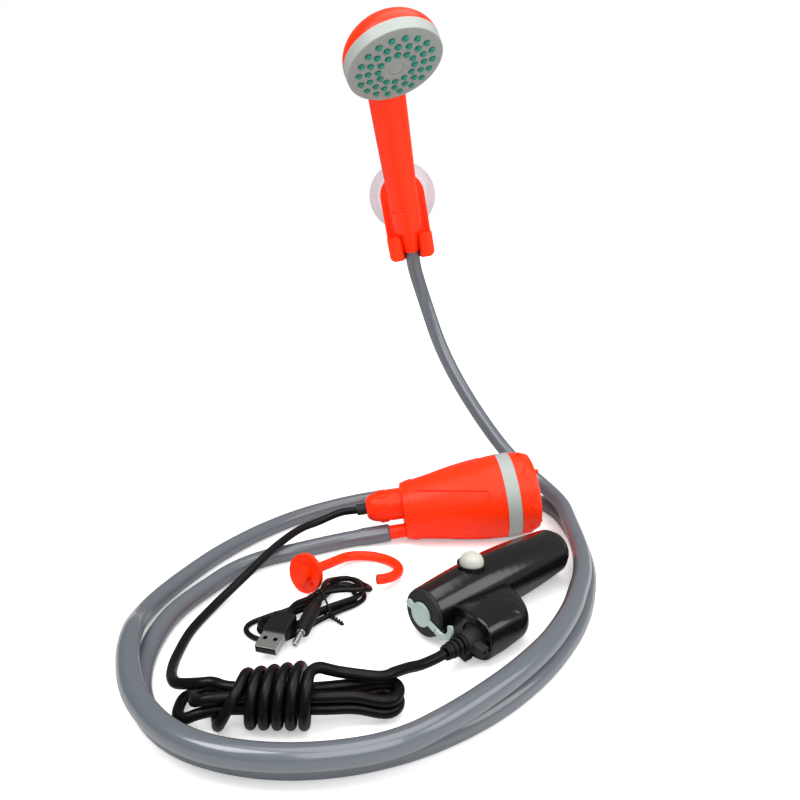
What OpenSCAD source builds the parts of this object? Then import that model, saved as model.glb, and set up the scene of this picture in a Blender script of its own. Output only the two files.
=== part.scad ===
// Camp shower kit: a submersible pump, its hose and handset on a suction bracket,
// a battery pack on its lead, a hanging hook and a charging lead.
// The origin is the middle of the suction cup's face on the wall. The wall is the plane
// y = 0, the kit stands in front of it on the -y side, and +z is up.

/* [Suction bracket] */
// Diameter of the clear suction cup
cup_d = 53; // [46:1:62]
// Depth of the cup from the wall to its neck
cup_depth = 8; // [6:0.5:10]
// Diameter of the stud between the cup and its head
stud_d = 9; // [7:0.5:11]
// Width of the bracket
bracket_w = 35; // [33:1:40]
// Thickness of the bracket's back plate
plate_t = 4.5; // [3:0.5:6]
// Roll of the bracket about the stud, foot to the right
bracket_roll = 10; // [0:1:20]
// Height of the cradle's arms
cradle_h = 18; // [15:1:20]
// Reach of the cradle in front of the wall
cradle_reach = 40; // [39:0.5:44]
// Width of the slot that lets the hose in
slot_w = 13; // [12:0.5:14]
// Distance of the cone's mouth below the stud
seat_drop = 42; // [40:1:46]
// Distance of the cone's mouth in front of the wall
seat_out = 28; // [26:1:30]
// Lean of the handset away from the wall
lean = 22; // [15:1:26]

/* [Hose nut] */
// Diameter of the cone at its mouth
cone_d1 = 12.8; // [12.6:0.2:14]
// Diameter of the cone at the nut
cone_d2 = 16; // [15:0.5:18]
// Length of the cone
cone_h = 16.5; // [14:0.5:18]
// Diameter of the nut at its foot
nut_d1 = 21; // [20:0.5:22]
// Diameter of the nut at its top
nut_d2 = 22.6; // [22:0.2:24]
// Height of the nut
nut_h = 18; // [16:0.5:20]
// Diameter of the handset's tail in the nut
tail_d = 14; // [12:0.5:15]

/* [Handset] */
// Turn of the handset about its handle
turn = 13; // [0:1:40]
// Diameter of the handle at the nut
handle_d1 = 21.8; // [20:0.2:24]
// Diameter of the handle at the head
handle_d2 = 26.6; // [25:0.2:29]
// Forward bow of the handle
handle_bow = 3.5; // [0:0.5:6]
// Height of the spray face's centre above the cone's mouth
head_rise = 140.4; // [136:0.2:150]
// Reach of the spray face's centre in front of the handle
head_reach = 38; // [36:0.5:42]
// Angle from the handle to the direction of the spray
head_tilt = 132; // [124:1:138]
// Outer diameter of the head
head_d = 63.4; // [60:0.2:70]
// Depth of the dome behind the bezel
dome_h = 21.5; // [18:0.5:26]
// Height of the pale bezel
bezel_h = 8; // [6:0.5:10]
// Crown of the spray face
face_crown = 1.6; // [0.5:0.1:3]
// Thickness of the spray face
face_t = 2.2; // [1.6:0.2:3]
// Wall of the head
head_wall = 2.4; // [1.8:0.2:3]
// Diameter of a nozzle's root
nozzle_d = 3.8; // [3:0.2:4.4]
// Height of a nozzle above the face
nozzle_h = 1.2; // [1:0.2:3]

/* [Hose] */
// Outer diameter of the hose
hose_d = 11; // [10:0.2:11.2]
// Bore of the hose where the barb fills it
hose_bore = 8; // [7:0.2:8.6]

/* [Pump] */
// Diameter of the small end
pump_d1 = 40.2; // [38:0.2:44]
// Diameter at the band
pump_d2 = 58.6; // [56:0.2:62]
// Length of the body from the small end to the band
pump_l = 69.5; // [66:0.5:76]
// Width of the pale band
band_w = 9.2; // [8:0.2:12]
// Length of the strainer cap
cap_l = 14.5; // [13:0.5:18]
// Wall of the pump's shells
pump_wall = 2.4; // [2:0.2:3]
// Depth of the tongue-shaped recesses
tongue_depth = 0.7; // [0.4:0.1:1]
// Rise of the gland above the pump's axis
gland_rise = 6; // [4:0.5:7]
// Drop of the outlet below the pump's axis
outlet_drop = 11.5; // [11:0.5:12.5]
// Offset of the outlet to the near side of the pump's axis
outlet_side = 7; // [6.5:0.5:9]
// Diameter of the gland's boss
gland_d = 21.8; // [20:0.2:23]
// Diameter of the outlet nipple's collar
nipple_d = 9.6; // [9:0.2:10.4]
// Diameter of the motor's can
motor_d = 27.6; // [24:0.2:29]
// Length of the motor's can
motor_l = 38; // [32:1:40]
// Diameter of the motor's shaft
shaft_d = 2.3; // [2:0.1:3]
// Diameter of the impeller
impeller_d = 32; // [26:1:36]

/* [Cable] */
// Diameter of the pump's cable
cable_d = 5.2; // [4.6:0.1:5.4]
// Turns that bind the hank
wrap_turns = 6; // [5:1:7]

/* [Battery pack] */
// Diameter of the pack's ends
pack_d1 = 26.6; // [25:0.2:29]
// Diameter of the pack's middle
pack_d2 = 33.4; // [31:0.2:36]
// Length of the pack
pack_l = 115; // [112:1:118]
// Bore of the pack's tube
pack_bore = 21; // [20:0.5:22]
// Diameter of the connector pod
pod_d = 24; // [22:0.5:26]
// Offset of the pod's axis from the pack's
pod_out = 28; // [26:0.5:31]
// Length of the pod's straight part
pod_l = 25; // [24:1:32]
// Distance of the pod's face from the pack's front
pod_x = 10; // [8:1:14]
// Diameter of the power button
button_d = 14; // [12:0.5:15]
// Distance of the button from the pack's front
button_x = 37; // [33:1:50]
// Height of the button's dome
button_dome = 3.6; // [2.5:0.1:5]
// Travel of the button
button_travel = 1.5; // [1:0.1:1.8]
// Diameter of the charge cover
cover_d = 13.4; // [12:0.2:15]
// Thickness of the charge cover
cover_t = 1.4; // [1:0.1:1.8]
// Diameter of the battery cell
cell_d = 18.4; // [18:0.1:18.6]
// Room kept in front of the battery cell and behind it
cell_room = 0.4; // [0.3:0.1:1]
// Diameter of the plug's body
plug_d = 11.6; // [10:0.2:12.6]

/* [Hanging hook] */
// Diameter of the hook's disc
hook_disc_d = 24; // [20:0.5:28]
// Diameter of the hook's rod
hook_rod_d = 6.2; // [5:0.2:7]
// Length of the hook's straight shank
hook_shank = 35; // [30:1:40]
// Radius of the hook's bend
hook_bend = 20.5; // [17:0.5:23]

/* [Charging lead] */
// Diameter of the charging lead
lead_d = 3; // [2.6:0.1:3.1]
// Width of the plug's metal shell
usb_w = 12; // [11.8:0.1:12.2]
// Thickness of the plug's metal shell
usb_t = 4.5; // [4.3:0.1:4.7]
// Length of the plug's bare shell
usb_l = 11.7; // [11:0.1:13]
// Diameter of the round plug's barrel
barrel_d = 3.5; // [3.2:0.1:4]
// Length of the round plug's barrel
barrel_l = 9.5; // [8:0.5:11]

/* [Hidden] */
$fn = 64;

// Level of the floor below the suction cup
floor_z = -237;
// Gap between pieces that move on each other
clear = 0.3;
// Radial gap of a running fit
fit = 0.06;
// Radial gap between a piece and the seat it is fixed in
seat = 0.1;
e = 0.01;

orange = [1.0, 0.27, 0.12];
dark_orange = [0.8, 0.08, 0.05];
pale_green = [0.72, 0.77, 0.73];
teal = [0.0, 0.6, 0.5];
hose_grey = [0.52, 0.55, 0.6];
black = [0.08, 0.08, 0.09];
dark_grey = [0.25, 0.25, 0.26];
steel = [0.75, 0.75, 0.77];
brass = [0.8, 0.65, 0.3];
ivory = [0.85, 0.84, 0.78];
clear_grey = [0.8, 0.82, 0.86, 0.5];

// Sweeps and curves

function unit(v) = v / norm(v);
function clamp(v, low, high) = max(low, min(high, v));
function smooth(v) = let (u = clamp(v, 0, 1)) u * u * (3 - 2 * u);
function last(list) = list[len(list) - 1];
function tangents(p) = [for (i = [0:len(p) - 1]) unit(p[min(i + 1, len(p) - 1)] - p[max(i - 1, 0)])];
function across(t) = unit(cross(t, abs(t.z) < 0.9 ? [0, 0, 1] : [1, 0, 0]));
function carried(n, t) = unit(n - (n * t) * t);
function normals(t) = [for (i = 0, n = across(t[0]); i < len(t);
                            i = i + 1, n = carried(n, t[min(i, len(t) - 1)])) n];
function spline_at(a, b, c, d, u) =
    (2 * b + (c - a) * u + (2 * a - 5 * b + 4 * c - d) * u * u + (3 * b - a - 3 * c + d) * u * u * u) / 2;
// Smooth curve through the points, with steps parts to each span
function spline(p, steps) = let (n = len(p) - 1) concat(
    [for (i = [0:n - 1]) for (k = [0:steps - 1])
        spline_at(p[max(i - 1, 0)], p[i], p[i + 1], p[min(i + 2, n)], k / steps)],
    [p[n]]);
function path_length(p) = len(p) < 2 ? 0 : [for (i = 0, s = 0; i < len(p); i = i + 1,
    s = s + (i < len(p) ? norm(p[i] - p[i - 1]) : 0)) s][len(p) - 1];
// Least distance between points of one path that are more than skip steps apart
function self_gap(p, skip) =
    min([for (i = [0:len(p) - 1]) for (j = [i + skip:1:len(p) - 1]) norm(p[i] - p[j])]);

// Round tube along points; the radius is one number or one for each point
module tube(p, r, sides) {
    t = tangents(p);
    n = normals(t);
    m = len(p);
    rings = [for (i = [0:m - 1]) for (k = [0:sides - 1])
        let (a = 360 * k / sides, ri = is_list(r) ? r[i] : r)
        p[i] + ri * (cos(a) * n[i] + sin(a) * cross(t[i], n[i]))];
    walls = [for (i = [0:m - 2]) for (k = [0:sides - 1])
        let (a = i * sides + k, b = i * sides + (k + 1) % sides)
        each [[a, a + sides, b + sides], [a, b + sides, b]]];
    first = [for (k = [1:sides - 2]) [0, k, k + 1]];
    final = [for (k = [1:sides - 2]) let (o = (m - 1) * sides) [o, o + k + 1, o + k]];
    polyhedron(points = rings, faces = concat(walls, first, final), convexity = 8);
}

// Turned solid about x from a list of [x, radius] points
module turned_x(profile) {
    rotate([90, 0, 90]) rotate_extrude() polygon([for (q = profile) [q.y, q.x]]);
}

// Plain cylinder along x
module rod_x(x0, x1, d) {
    translate([x0, 0, 0]) rotate([0, 90, 0]) cylinder(d = d, h = x1 - x0);
}

// Frames of the sub-assemblies

module at_bracket() { rotate([0, -bracket_roll, 0]) children(); }
module at_seat() { at_bracket() translate([0, -seat_out, -seat_drop]) rotate([lean, 0, 0]) children(); }
module at_handset() { at_seat() rotate([0, 0, turn]) children(); }
module at_head() {
    at_handset() translate([0, -head_reach, head_rise]) rotate([head_tilt, 0, 0]) children();
}
// Point on the cone's axis, s above its mouth, in the part's frame
function seat_at(s) = let (z = s * cos(lean) - seat_drop)
    [-z * sin(bracket_roll), -seat_out - s * sin(lean), z * cos(bracket_roll)];

pump_x = 0;
pump_y = -134;
pump_yaw = 5;
pump_tilt = 7.5;
// Height of the small end's centre, which lets the swell of the body touch the floor
pump_rise = max([for (k = [0:10]) let (u = k / 10)
    pump_r(u) * cos(pump_tilt) - u * pump_l * sin(pump_tilt)]) + 0.1;
function pump_r(u) = (pump_d1 + (pump_d2 - pump_d1) * (u + sin(90 * u)) / 2) / 2;
function pump_at(x, y, z) = let (a = x * cos(pump_tilt) - z * sin(pump_tilt))
    [pump_x + a * cos(pump_yaw) - y * sin(pump_yaw), pump_y + a * sin(pump_yaw) + y * cos(pump_yaw),
     floor_z + pump_rise + x * sin(pump_tilt) + z * cos(pump_tilt)];
module at_pump() {
    translate([pump_x, pump_y, floor_z + pump_rise]) rotate([0, -pump_tilt, pump_yaw]) children();
}
module at_gland() { at_pump() translate([0, 0, gland_rise]) children(); }
module at_outlet() { at_pump() translate([0, -outlet_side, -outlet_drop]) children(); }

pack_x = 10.5;
pack_y = -258;
pack_yaw = 41;
pack_rise = pack_d2 / 2 + 0.2;
// Height of the pod's axis above the floor
pod_rise = pod_d / 2 + 0.2;
module at_pack() { translate([pack_x, pack_y, floor_z + pack_rise]) rotate([0, 0, pack_yaw]) children(); }
module at_pod() { at_pack() translate([pod_x, -pod_out, pod_rise - pack_rise]) children(); }
function pod_at(x) = let (u = pod_x + x)
    [pack_x + u * cos(pack_yaw) + pod_out * sin(pack_yaw),
     pack_y + u * sin(pack_yaw) - pod_out * cos(pack_yaw), floor_z + pod_rise];
function pack_r(u) = (pack_d1 + (pack_d2 - pack_d1) * sin(180 * u)) / 2;

hook_x = -59;
hook_y = -206;
hook_yaw = 57;
// Dip of the shank towards its bend
hook_dip = asin((hook_disc_d - hook_rod_d) / 2 / (hook_shank + hook_bend));
module at_hook() {
    translate([hook_x, hook_y, floor_z + hook_disc_d / 2 + 0.2]) rotate([0, hook_dip, hook_yaw]) children();
}

// Suction cup and bracket

stud_gap = 0.25;
stud_head_d = stud_d + 5;
stud_head_t = 3;
plate_y0 = cup_depth + 0.4;
plate_y1 = plate_y0 + plate_t;
rim_w = 3.2;
rim_t = 0.9;
cup_hollow = 1.8;
cup_pad_d = 14;

module suction_cup() {
    color(clear_grey) rotate([90, 0, 0]) rotate_extrude() polygon(concat(
        [[cup_d / 2 - rim_w, 0], [cup_d / 2, 0], [cup_d / 2, rim_t]],
        [for (k = [1:6]) let (u = k / 6)
            [cup_d / 2 - (cup_d - stud_d) / 2 * u,
             rim_t + (cup_depth - rim_t) * smooth(u * 0.9) / smooth(0.9)]],
        [[stud_d / 2, plate_y1 + 0.2], [stud_head_d / 2, plate_y1 + 0.4],
         [stud_head_d / 2, plate_y1 + stud_head_t - 1], [stud_head_d / 2 - 1, plate_y1 + stud_head_t],
         [0, plate_y1 + stud_head_t], [0, 0], [cup_pad_d / 2, 0]],
        [for (k = [1:7]) let (u = k / 8)
            [cup_pad_d / 2 + (cup_d / 2 - rim_w - cup_pad_d / 2) * u, cup_hollow * sin(180 * u)]]));
}

plate_foot = seat_drop - 42 + 48.5;
arm_w = (bracket_w - slot_w) / 2;
seat_clear = 0.3;

module bracket_form() {
    // Back plate with a round top about the stud
    translate([0, -plate_y0, 0]) rotate([90, 0, 0]) linear_extrude(plate_t) difference() {
        union() {
            circle(d = bracket_w);
            translate([-bracket_w / 2, -plate_foot]) square([bracket_w, plate_foot]);
        }
        circle(d = stud_d + 2 * stud_gap);
    }
    // Cradle with two round-fronted arms
    translate([0, 0, -plate_foot]) linear_extrude(cradle_h) {
        translate([-bracket_w / 2, -cradle_reach + arm_w / 2])
            square([bracket_w, cradle_reach - arm_w / 2 - plate_y0]);
        for (s = [-1, 1]) translate([s * (bracket_w - arm_w) / 2, -cradle_reach + arm_w / 2])
            circle(d = arm_w);
    }
    // Raised rims that stiffen the plate's edges
    for (s = [-1, 1]) translate([s * (bracket_w / 2 - 1.2), -plate_y1, -plate_foot / 2])
        cube([2.4, 3, plate_foot - 2], center = true);
}

module bracket() {
    foot_round = 4.5;
    color(orange) at_bracket() difference() {
        intersection() {
            bracket_form();
            rotate([90, 0, 0]) linear_extrude(2 * cradle_reach) translate([-bracket_w / 2, -plate_foot])
                offset(foot_round) offset(-foot_round) square([bracket_w, 2 * plate_foot + bracket_w]);
        }
        // Slot for the hose, from the seat out to the front
        translate([-slot_w / 2, -cradle_reach - 1, -plate_foot - 1])
            cube([slot_w, cradle_reach - seat_out + 5, cradle_h + 2]);
        // Conical seat, and the way for the hose under it
        translate([0, -seat_out, -seat_drop]) rotate([lean, 0, 0]) {
            cylinder(d1 = cone_d1 + 2 * seat_clear, d2 = cone_d2 + 2 * seat_clear, h = cone_h + e);
            translate([0, 0, -20]) cylinder(d = cone_d1 + 2 * seat_clear, h = 20 + e);
            translate([0, 0, cone_h]) cylinder(d = cone_d2 + 2 * seat_clear, h = 12);
        }
    }
}

// Hose nut

nut_z = cone_h + 0.5;
nut_top = nut_z + nut_h;
hose_stop = cone_h - 2.5;
cavity_z = cone_h + 1.5;
washer_t = 2;
washer_z = cavity_z + 0.05;
tail_z = washer_z + washer_t + 0.05;

module hose_nut() {
    color(orange) at_seat() difference() {
        rotate_extrude() polygon([
            [0, 0], [cone_d1 / 2 - 0.6, 0], [cone_d1 / 2, 0.6], [cone_d2 / 2, cone_h],
            [cone_d2 / 2, nut_z], [nut_d1 / 2 - 0.8, nut_z], [nut_d1 / 2, nut_z + 0.8],
            [nut_d2 / 2, nut_top - 0.6], [nut_d2 / 2 - 0.6, nut_top], [0, nut_top]]);
        translate([0, 0, -1]) cylinder(d = hose_d + 2 * seat, h = hose_stop + 1);
        translate([0, 0, -1]) cylinder(d = hose_bore, h = nut_top);
        translate([0, 0, cavity_z]) cylinder(d = tail_d + 2 * fit, h = nut_h + 2);
    }
}

module nut_washer() {
    color(black) at_seat() translate([0, 0, washer_z]) difference() {
        cylinder(d = tail_d - 0.2, h = washer_t);
        translate([0, 0, -1]) cylinder(d = hose_bore, h = washer_t + 2);
    }
}

// Handset

handle_z = nut_top + 0.4;
// End of the handle inside the head
handle_end = head_rise - 2;
head_r = head_d / 2;
face_r = head_r - 2.4;
way_z = 112;
way_back = 13;
// Slope and length of the way from the handle into the head
way_slope = atan((head_reach - way_back * sin(head_tilt))
                 / (head_rise - way_back * cos(head_tilt) - way_z));
way_l = 30;
lip_r = face_r - 1.9;
ring_wire = 1.5;
nozzle_rings = [[12, 12], [16, 18.4], [18, 24.2]];
centre_r = 5.2;
mat_t = 1.6;
function crown(r) = face_crown * (1 - pow(r / face_r, 2));

module dome(r, h, z) {
    rotate_extrude() polygon(concat([[0, z]],
        [for (k = [0:16]) let (a = 90 * k / 16) [r * cos(a), z - h * sin(a)]]));
}

module handset_shell() {
    rings = 12;
    spine = [for (k = [0:rings]) let (u = k / rings)
        [0, -handle_bow * u * u, handle_z + (handle_end - handle_z) * u]];
    widths = [for (k = [0:rings]) let (u = k / rings)
        (handle_d1 + (handle_d2 - handle_d1) * (u + sin(90 * u)) / 2) / 2];
    color(orange) difference() {
        union() {
            difference() {
                at_handset() tube(spine, widths, 36);
                at_head() translate([0, 0, -bezel_h]) cylinder(r = head_r + clear, h = 60);
            }
            at_handset() translate([0, 0, tail_z]) cylinder(d = tail_d, h = handle_z - tail_z + 3);
            at_head() dome(head_r - 0.1, dome_h, -bezel_h);
            at_head() translate([0, 0, -bezel_h - 1]) cylinder(r = lip_r, h = 4);
        }
        at_head() translate([0, 0, -e]) dome(lip_r - head_wall, dome_h - head_wall, -bezel_h - 1);
        at_head() translate([0, 0, -bezel_h - 1 - 2 * e]) cylinder(r = lip_r - 1.6, h = 6);
        // Water way up the handle and over into the head
        at_handset() translate([0, 0, tail_z - 1]) cylinder(d = hose_bore, h = way_z - tail_z + 3);
        at_handset() translate([0, 0, way_z]) rotate([way_slope, 0, 0]) cylinder(d = hose_bore, h = way_l);
    }
}

module spray_plate() {
    color(pale_green) at_head() difference() {
        rotate_extrude() polygon(concat(
            [[0, -face_t]], [[0, face_crown]],
            [for (k = [1:8]) let (r = face_r * k / 8) [r, crown(r)]],
            [[head_r - 0.8, crown(head_r - 0.8)], [head_r - 0.3, crown(head_r) - 0.4], [head_r, -bezel_h],
             [face_r - 0.3, -bezel_h], [face_r - 0.3, -face_t]]));
        for (ring = nozzle_rings) for (k = [0:ring[0] - 1]) rotate([0, 0, 360 * k / ring[0]])
            translate([ring[1], 0, -face_t - 1]) cylinder(d = nozzle_d + 0.5, h = face_t + 4, $fn = 24);
        translate([0, 0, face_crown - 1]) cylinder(r = centre_r, h = 3);
    }
}

module nozzle_mat() {
    color(teal) at_head() union() {
        translate([0, 0, -face_t - mat_t]) cylinder(r = face_r - 0.5, h = mat_t);
        for (ring = nozzle_rings) for (k = [0:ring[0] - 1]) rotate([0, 0, 360 * k / ring[0]])
            translate([ring[1], 0, -face_t - e])
                cylinder(d1 = nozzle_d, d2 = nozzle_d * 0.66,
                         h = face_t + crown(ring[1]) + nozzle_h, $fn = 24);
    }
}

module face_seal() {
    color(black) at_head() translate([0, 0, -bezel_h + ring_wire])
        rotate_extrude() translate([(lip_r + face_r - 0.3) / 2, 0]) circle(d = ring_wire, $fn = 24);
}

module centre_cap() {
    color(pale_green) at_head() translate([0, 0, face_crown - 1]) rotate_extrude()
        polygon([[0, 0], [centre_r - 0.1, 0], [centre_r - 0.1, 0.7], [centre_r - 0.6, 1], [0, 1.3]]);
}

// Hose: from the nut down to the floor, then two turns to the pump's outlet.
// Points on the floor are [x, y, height of the hose's middle above the floor].

riser_route = [[18.2, -17, 155], [31.2, -22, 119], [46.7, -33, 89], [67, -49, 59], [86, -65, 37]];
loop_route = [
    [107, -86.5, 22], [116, -109, 18.8], [115.5, -144, 17.2], [113, -182.5, 16.8], [107.5, -211, 16.8],
    [99.5, -233.5, 17], [89.5, -256.5, 17.2], [73.5, -283, 17.2], [54.5, -306, 17.2], [34.5, -325.5, 17.2],
    [16, -341, 17.4], [-2.5, -353, 17.4], [-23.5, -359, 17.4], [-47, -361, 17.4], [-70, -358.5, 17.4],
    [-90, -352, 17.4], [-107, -338.5, 17.4], [-122.5, -319, 17.4], [-133.5, -295, 17.4], [-140, -272, 15.2],
    [-144.5, -249, 9], [-143, -225, 6], [-134.5, -198.5, 5.6], [-120.5, -167, 5.6], [-99.5, -134.5, 5.6],
    [-71.5, -105, 5.6], [-33.5, -80, 5.6], [10, -64, 5.6], [53, -58, 5.6], [89, -65.5, 5.6],
    [112.5, -85, 5.6], [119.5, -118.5, 5.6], [120, -155, 5.6], [116, -191, 5.6], [107, -223, 5.6],
    [96.5, -248.5, 5.6], [83, -271.5, 5.6], [67, -293, 5.6], [46.5, -314, 5.6], [24.5, -330.5, 5.6],
    [0.5, -343, 5.6], [-26, -350.5, 5.6], [-53, -352, 5.6], [-79, -347, 5.6], [-102, -336, 5.6],
    [-119.5, -316.5, 5.6], [-129, -292, 5.6], [-132, -264.5, 5.6], [-129, -238, 5.6], [-118, -211.5, 5.6],
    [-100, -181, 5.6], [-72, -165, 5.6], [-43, -150, 5.7]];
barb_l = 13;
nipple_l = 11;
function outlet_at(x) = pump_at(x, -outlet_side, -outlet_drop);
function on_floor(p) = [for (q = p) [q.x, q.y, floor_z + q.z]];
riser_points = concat([seat_at(hose_stop), seat_at(5), seat_at(-4), seat_at(-16)], on_floor(riser_route));
loop_points = concat(on_floor(loop_route), [outlet_at(-nipple_l - 14), outlet_at(-nipple_l)]);
// The riser and the loops meet square to one line
meet = loop_points[0];
meet_line = unit(loop_points[1] - last(riser_points));
riser_curve = concat(spline(concat(riser_points, [meet - hose_d * meet_line]), 2), [meet]);
loops_curve = concat([meet, meet + hose_d * meet_line],
                     [for (i = [1:len(loop_points) - 1]) loop_points[i]]);

module hose_riser() {
    color(hose_grey) difference() {
        tube(riser_curve, hose_d / 2, 10);
        at_seat() cylinder(d = hose_bore, h = hose_stop + 1);
    }
}

module hose_loops() {
    color(hose_grey) difference() {
        tube(loops_curve, hose_d / 2, 10);
        at_outlet() rod_x(-nipple_l - barb_l - 1, -nipple_l + 1, hose_bore + 2 * seat);
    }
}

// Pump

band_x = pump_l;
cap_x = pump_l + band_w + clear;
end_x = cap_x + cap_l;
chamber_r = pump_d2 / 2 - 3;
motor_x = 13;
shaft_x0 = motor_x + 2;
chamber_x = pump_l - 6;
wheel_x = chamber_x + 4;
intake_x = pump_l + band_w - 2;
nose_r = chamber_r - 3;

module pump_outer(inset) {
    turned_x(concat([[0, 0], [0, pump_d1 / 2 - 2 - inset], [0.6, pump_d1 / 2 - 0.6 - inset]],
        [for (k = [1:14]) let (u = k / 14) [u * pump_l, pump_r(u) - inset]], [[pump_l, 0]]));
}

// Tongue outline that widens towards the small end
module tongue() {
    hull() {
        translate([56, 0]) circle(d = 6, $fn = 24);
        translate([10, 0]) square([2, 22], center = true);
    }
}

module pump_body() {
    color(orange) at_pump() difference() {
        union() {
            difference() {
                pump_outer(0);
                // Four tongue-shaped recesses round the body
                intersection() {
                    difference() {
                        translate([-1, 0, 0]) rod_x(0, pump_l, pump_d2 + 10);
                        pump_outer(tongue_depth);
                    }
                    union() for (a = [62:90:332]) rotate([a, 0, 0]) linear_extrude(pump_d2) tongue();
                }
            }
            translate([0, 0, gland_rise]) rod_x(-8.5, 1, gland_d);
        }
        difference() {
            turned_x(concat([[pump_wall, 0]], [for (k = [1:14]) let (u = k / 14)
                [max(pump_wall, u * pump_l + (k == 14 ? 1 : 0)), pump_r(u) - pump_wall - tongue_depth]],
                [[pump_l + 1, 0]]));
            // Two inner walls that hold the motor
            for (x = [motor_x + 2, motor_x + motor_l - 6]) rod_x(x, x + 2, pump_d2);
        }
        rod_x(pump_wall, chamber_x, motor_d + 2 * seat);
        turned_x([[chamber_x, 0], [chamber_x, chamber_r + seat],
                  [pump_l + 1, chamber_r + seat], [pump_l + 1, 0]]);
        translate([0, 0, gland_rise]) rod_x(-9, pump_wall + 2, cable_d + 1);
        translate([0, -outlet_side, -outlet_drop]) rod_x(-1, pump_wall + 2, nipple_d + 2 * seat);
    }
}

module pump_band() {
    color(pale_green) at_pump() difference() {
        rod_x(band_x, band_x + band_w, pump_d2 + 0.4);
        rod_x(band_x - 1, band_x + band_w + 1, 2 * (chamber_r + seat));
    }
}

module pump_chamber() {
    color(dark_grey) at_pump() difference() {
        union() {
            rod_x(chamber_x, intake_x, 2 * chamber_r);
            rod_x(intake_x - e, pump_l + band_w + 7, 2 * nose_r);
        }
        rod_x(wheel_x, intake_x + e, impeller_d + 6);
        rod_x(intake_x, pump_l + band_w + 8, 2 * nose_r - 4);
        rod_x(chamber_x - 1, wheel_x + 1, 9 + 2 * seat);
        // Outlet of the chamber
        translate([0, -outlet_side, -outlet_drop]) rod_x(chamber_x - 1, wheel_x + 1, 6);
    }
}

module shaft_seal() {
    color(black) at_pump() difference() {
        rod_x(chamber_x, wheel_x - 0.2, 9);
        rod_x(chamber_x - 1, wheel_x + 1, shaft_d + 2 * fit);
    }
}

module intake_plate() {
    color(dark_grey) at_pump() difference() {
        rod_x(intake_x + 0.05, intake_x + 2, 2 * nose_r - 4 - 2 * seat);
        rod_x(intake_x - 1, intake_x + 3, 14);
    }
}

module motor_can() {
    color(steel) at_pump() difference() {
        union() {
            rod_x(motor_x, motor_x + motor_l, motor_d);
            rod_x(motor_x + motor_l - e, motor_x + motor_l + 2, 9);
        }
        rod_x(motor_x + 1.5, motor_x + motor_l + 3, 5 + 2 * seat);
    }
}

module motor_bushes() {
    color(brass) at_pump() for (x = [motor_x + 1.6, motor_x + motor_l - 2]) difference() {
        rod_x(x, x + 4, 5);
        rod_x(x - 1, x + 5, shaft_d + 2 * fit);
    }
}

module motor_shaft() {
    color(steel) at_pump() rod_x(shaft_x0, intake_x - 1.5, shaft_d);
}

module impeller() {
    vanes = 6;
    hub_d = 8;
    disc_t = 1.6;
    vane_h = 4;
    color(black) at_pump() difference() {
        union() {
            rod_x(wheel_x + clear, wheel_x + clear + disc_t, impeller_d);
            rod_x(wheel_x + clear, wheel_x + disc_t + vane_h, hub_d);
            // Curved vanes cut from rings set off the axis
            for (k = [0:vanes - 1]) rotate([360 * k / vanes, 0, 0])
                translate([wheel_x + disc_t, 0, 0]) rotate([0, 90, 0])
                linear_extrude(vane_h) intersection() {
                    translate([impeller_d / 4, -3]) difference() {
                        circle(d = impeller_d / 2);
                        circle(d = impeller_d / 2 - 2.6);
                    }
                    translate([0, -impeller_d]) square([impeller_d, impeller_d - 3]);
                    circle(d = impeller_d - 0.4);
                }
        }
        rod_x(wheel_x - 1, intake_x, shaft_d + 0.02);
    }
}

module strainer_cap() {
    rim = 3;
    scallops = 9;
    slots = 10;
    cap_r = pump_d2 / 2 - 0.2;
    color(orange) at_pump() difference() {
        union() {
            turned_x([[cap_x, 0], [cap_x, cap_r], [cap_x + cap_l * 0.55, cap_r - 0.8],
                      [end_x - rim, cap_r - 2],
                      [end_x - rim * 0.3, cap_r - 2 - rim * 0.3], [end_x, cap_r - 2 - rim], [end_x, 0]]);
            // Small feet on the end
            for (a = [30, 150, 270]) rotate([a, 0, 0])
                translate([0, 0, cap_r - 8]) rod_x(end_x - 1, end_x + 2.4, 3.4);
        }
        turned_x([[cap_x - 1, 0], [cap_x - 1, nose_r + clear], [end_x - 6, nose_r + clear],
                  [end_x - 2.4, nose_r - 2], [end_x - 2.4, 0]]);
        // Scallops round the side
        for (k = [0:scallops - 1]) rotate([360 * k / scallops, 0, 0])
            translate([end_x - 3, 0, cap_r - 1.9]) cylinder(d = 13, h = 6);
        // Slots in the end
        for (k = [0:slots - 1]) rotate([360 * k / slots + 12, 0, 0])
            translate([end_x - 4, -1.1, 6]) cube([6, 2.2, cap_r - 18]);
        rod_x(end_x - 4, end_x + 1, 5);
    }
}

module filter_screen() {
    color(steel) at_pump() difference() {
        rod_x(pump_l + band_w + 7.2, pump_l + band_w + 8.2, 2 * nose_r);
        for (r = [6, 11, 16]) for (k = [0:r - 1]) rotate([360 * k / r, 0, 0]) translate([0, 0, r])
            rod_x(pump_l + band_w + 6, pump_l + band_w + 9, 2.4);
    }
}

gland_x = -8.5;
gland_l = 16.5;
sleeve_d = 7.8;
sleeve_x = gland_x - gland_l - 6.5;

module gland_nut() {
    ribs = 12;
    lip = sleeve_d / 2 + 1;
    skirt = gland_d / 2 - 0.4;
    color(orange) at_gland() difference() {
        union() {
            turned_x(concat([[gland_x, 0], [gland_x, skirt]],
                [for (k = [0:8]) let (a = 90 * k / 8)
                    [gland_x - 6 - (gland_l - 6) * sin(a), lip + (skirt - lip) * cos(a)]],
                [[gland_x - gland_l, 0]]));
            for (k = [0:ribs - 1]) rotate([360 * k / ribs, 0, 0])
                translate([gland_x - 8, -1.1, gland_d / 2 - 3]) cube([7, 2.2, 3]);
        }
        rod_x(gland_x - gland_l - 1, gland_x + 1, sleeve_d + 2 * seat);
    }
}

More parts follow.
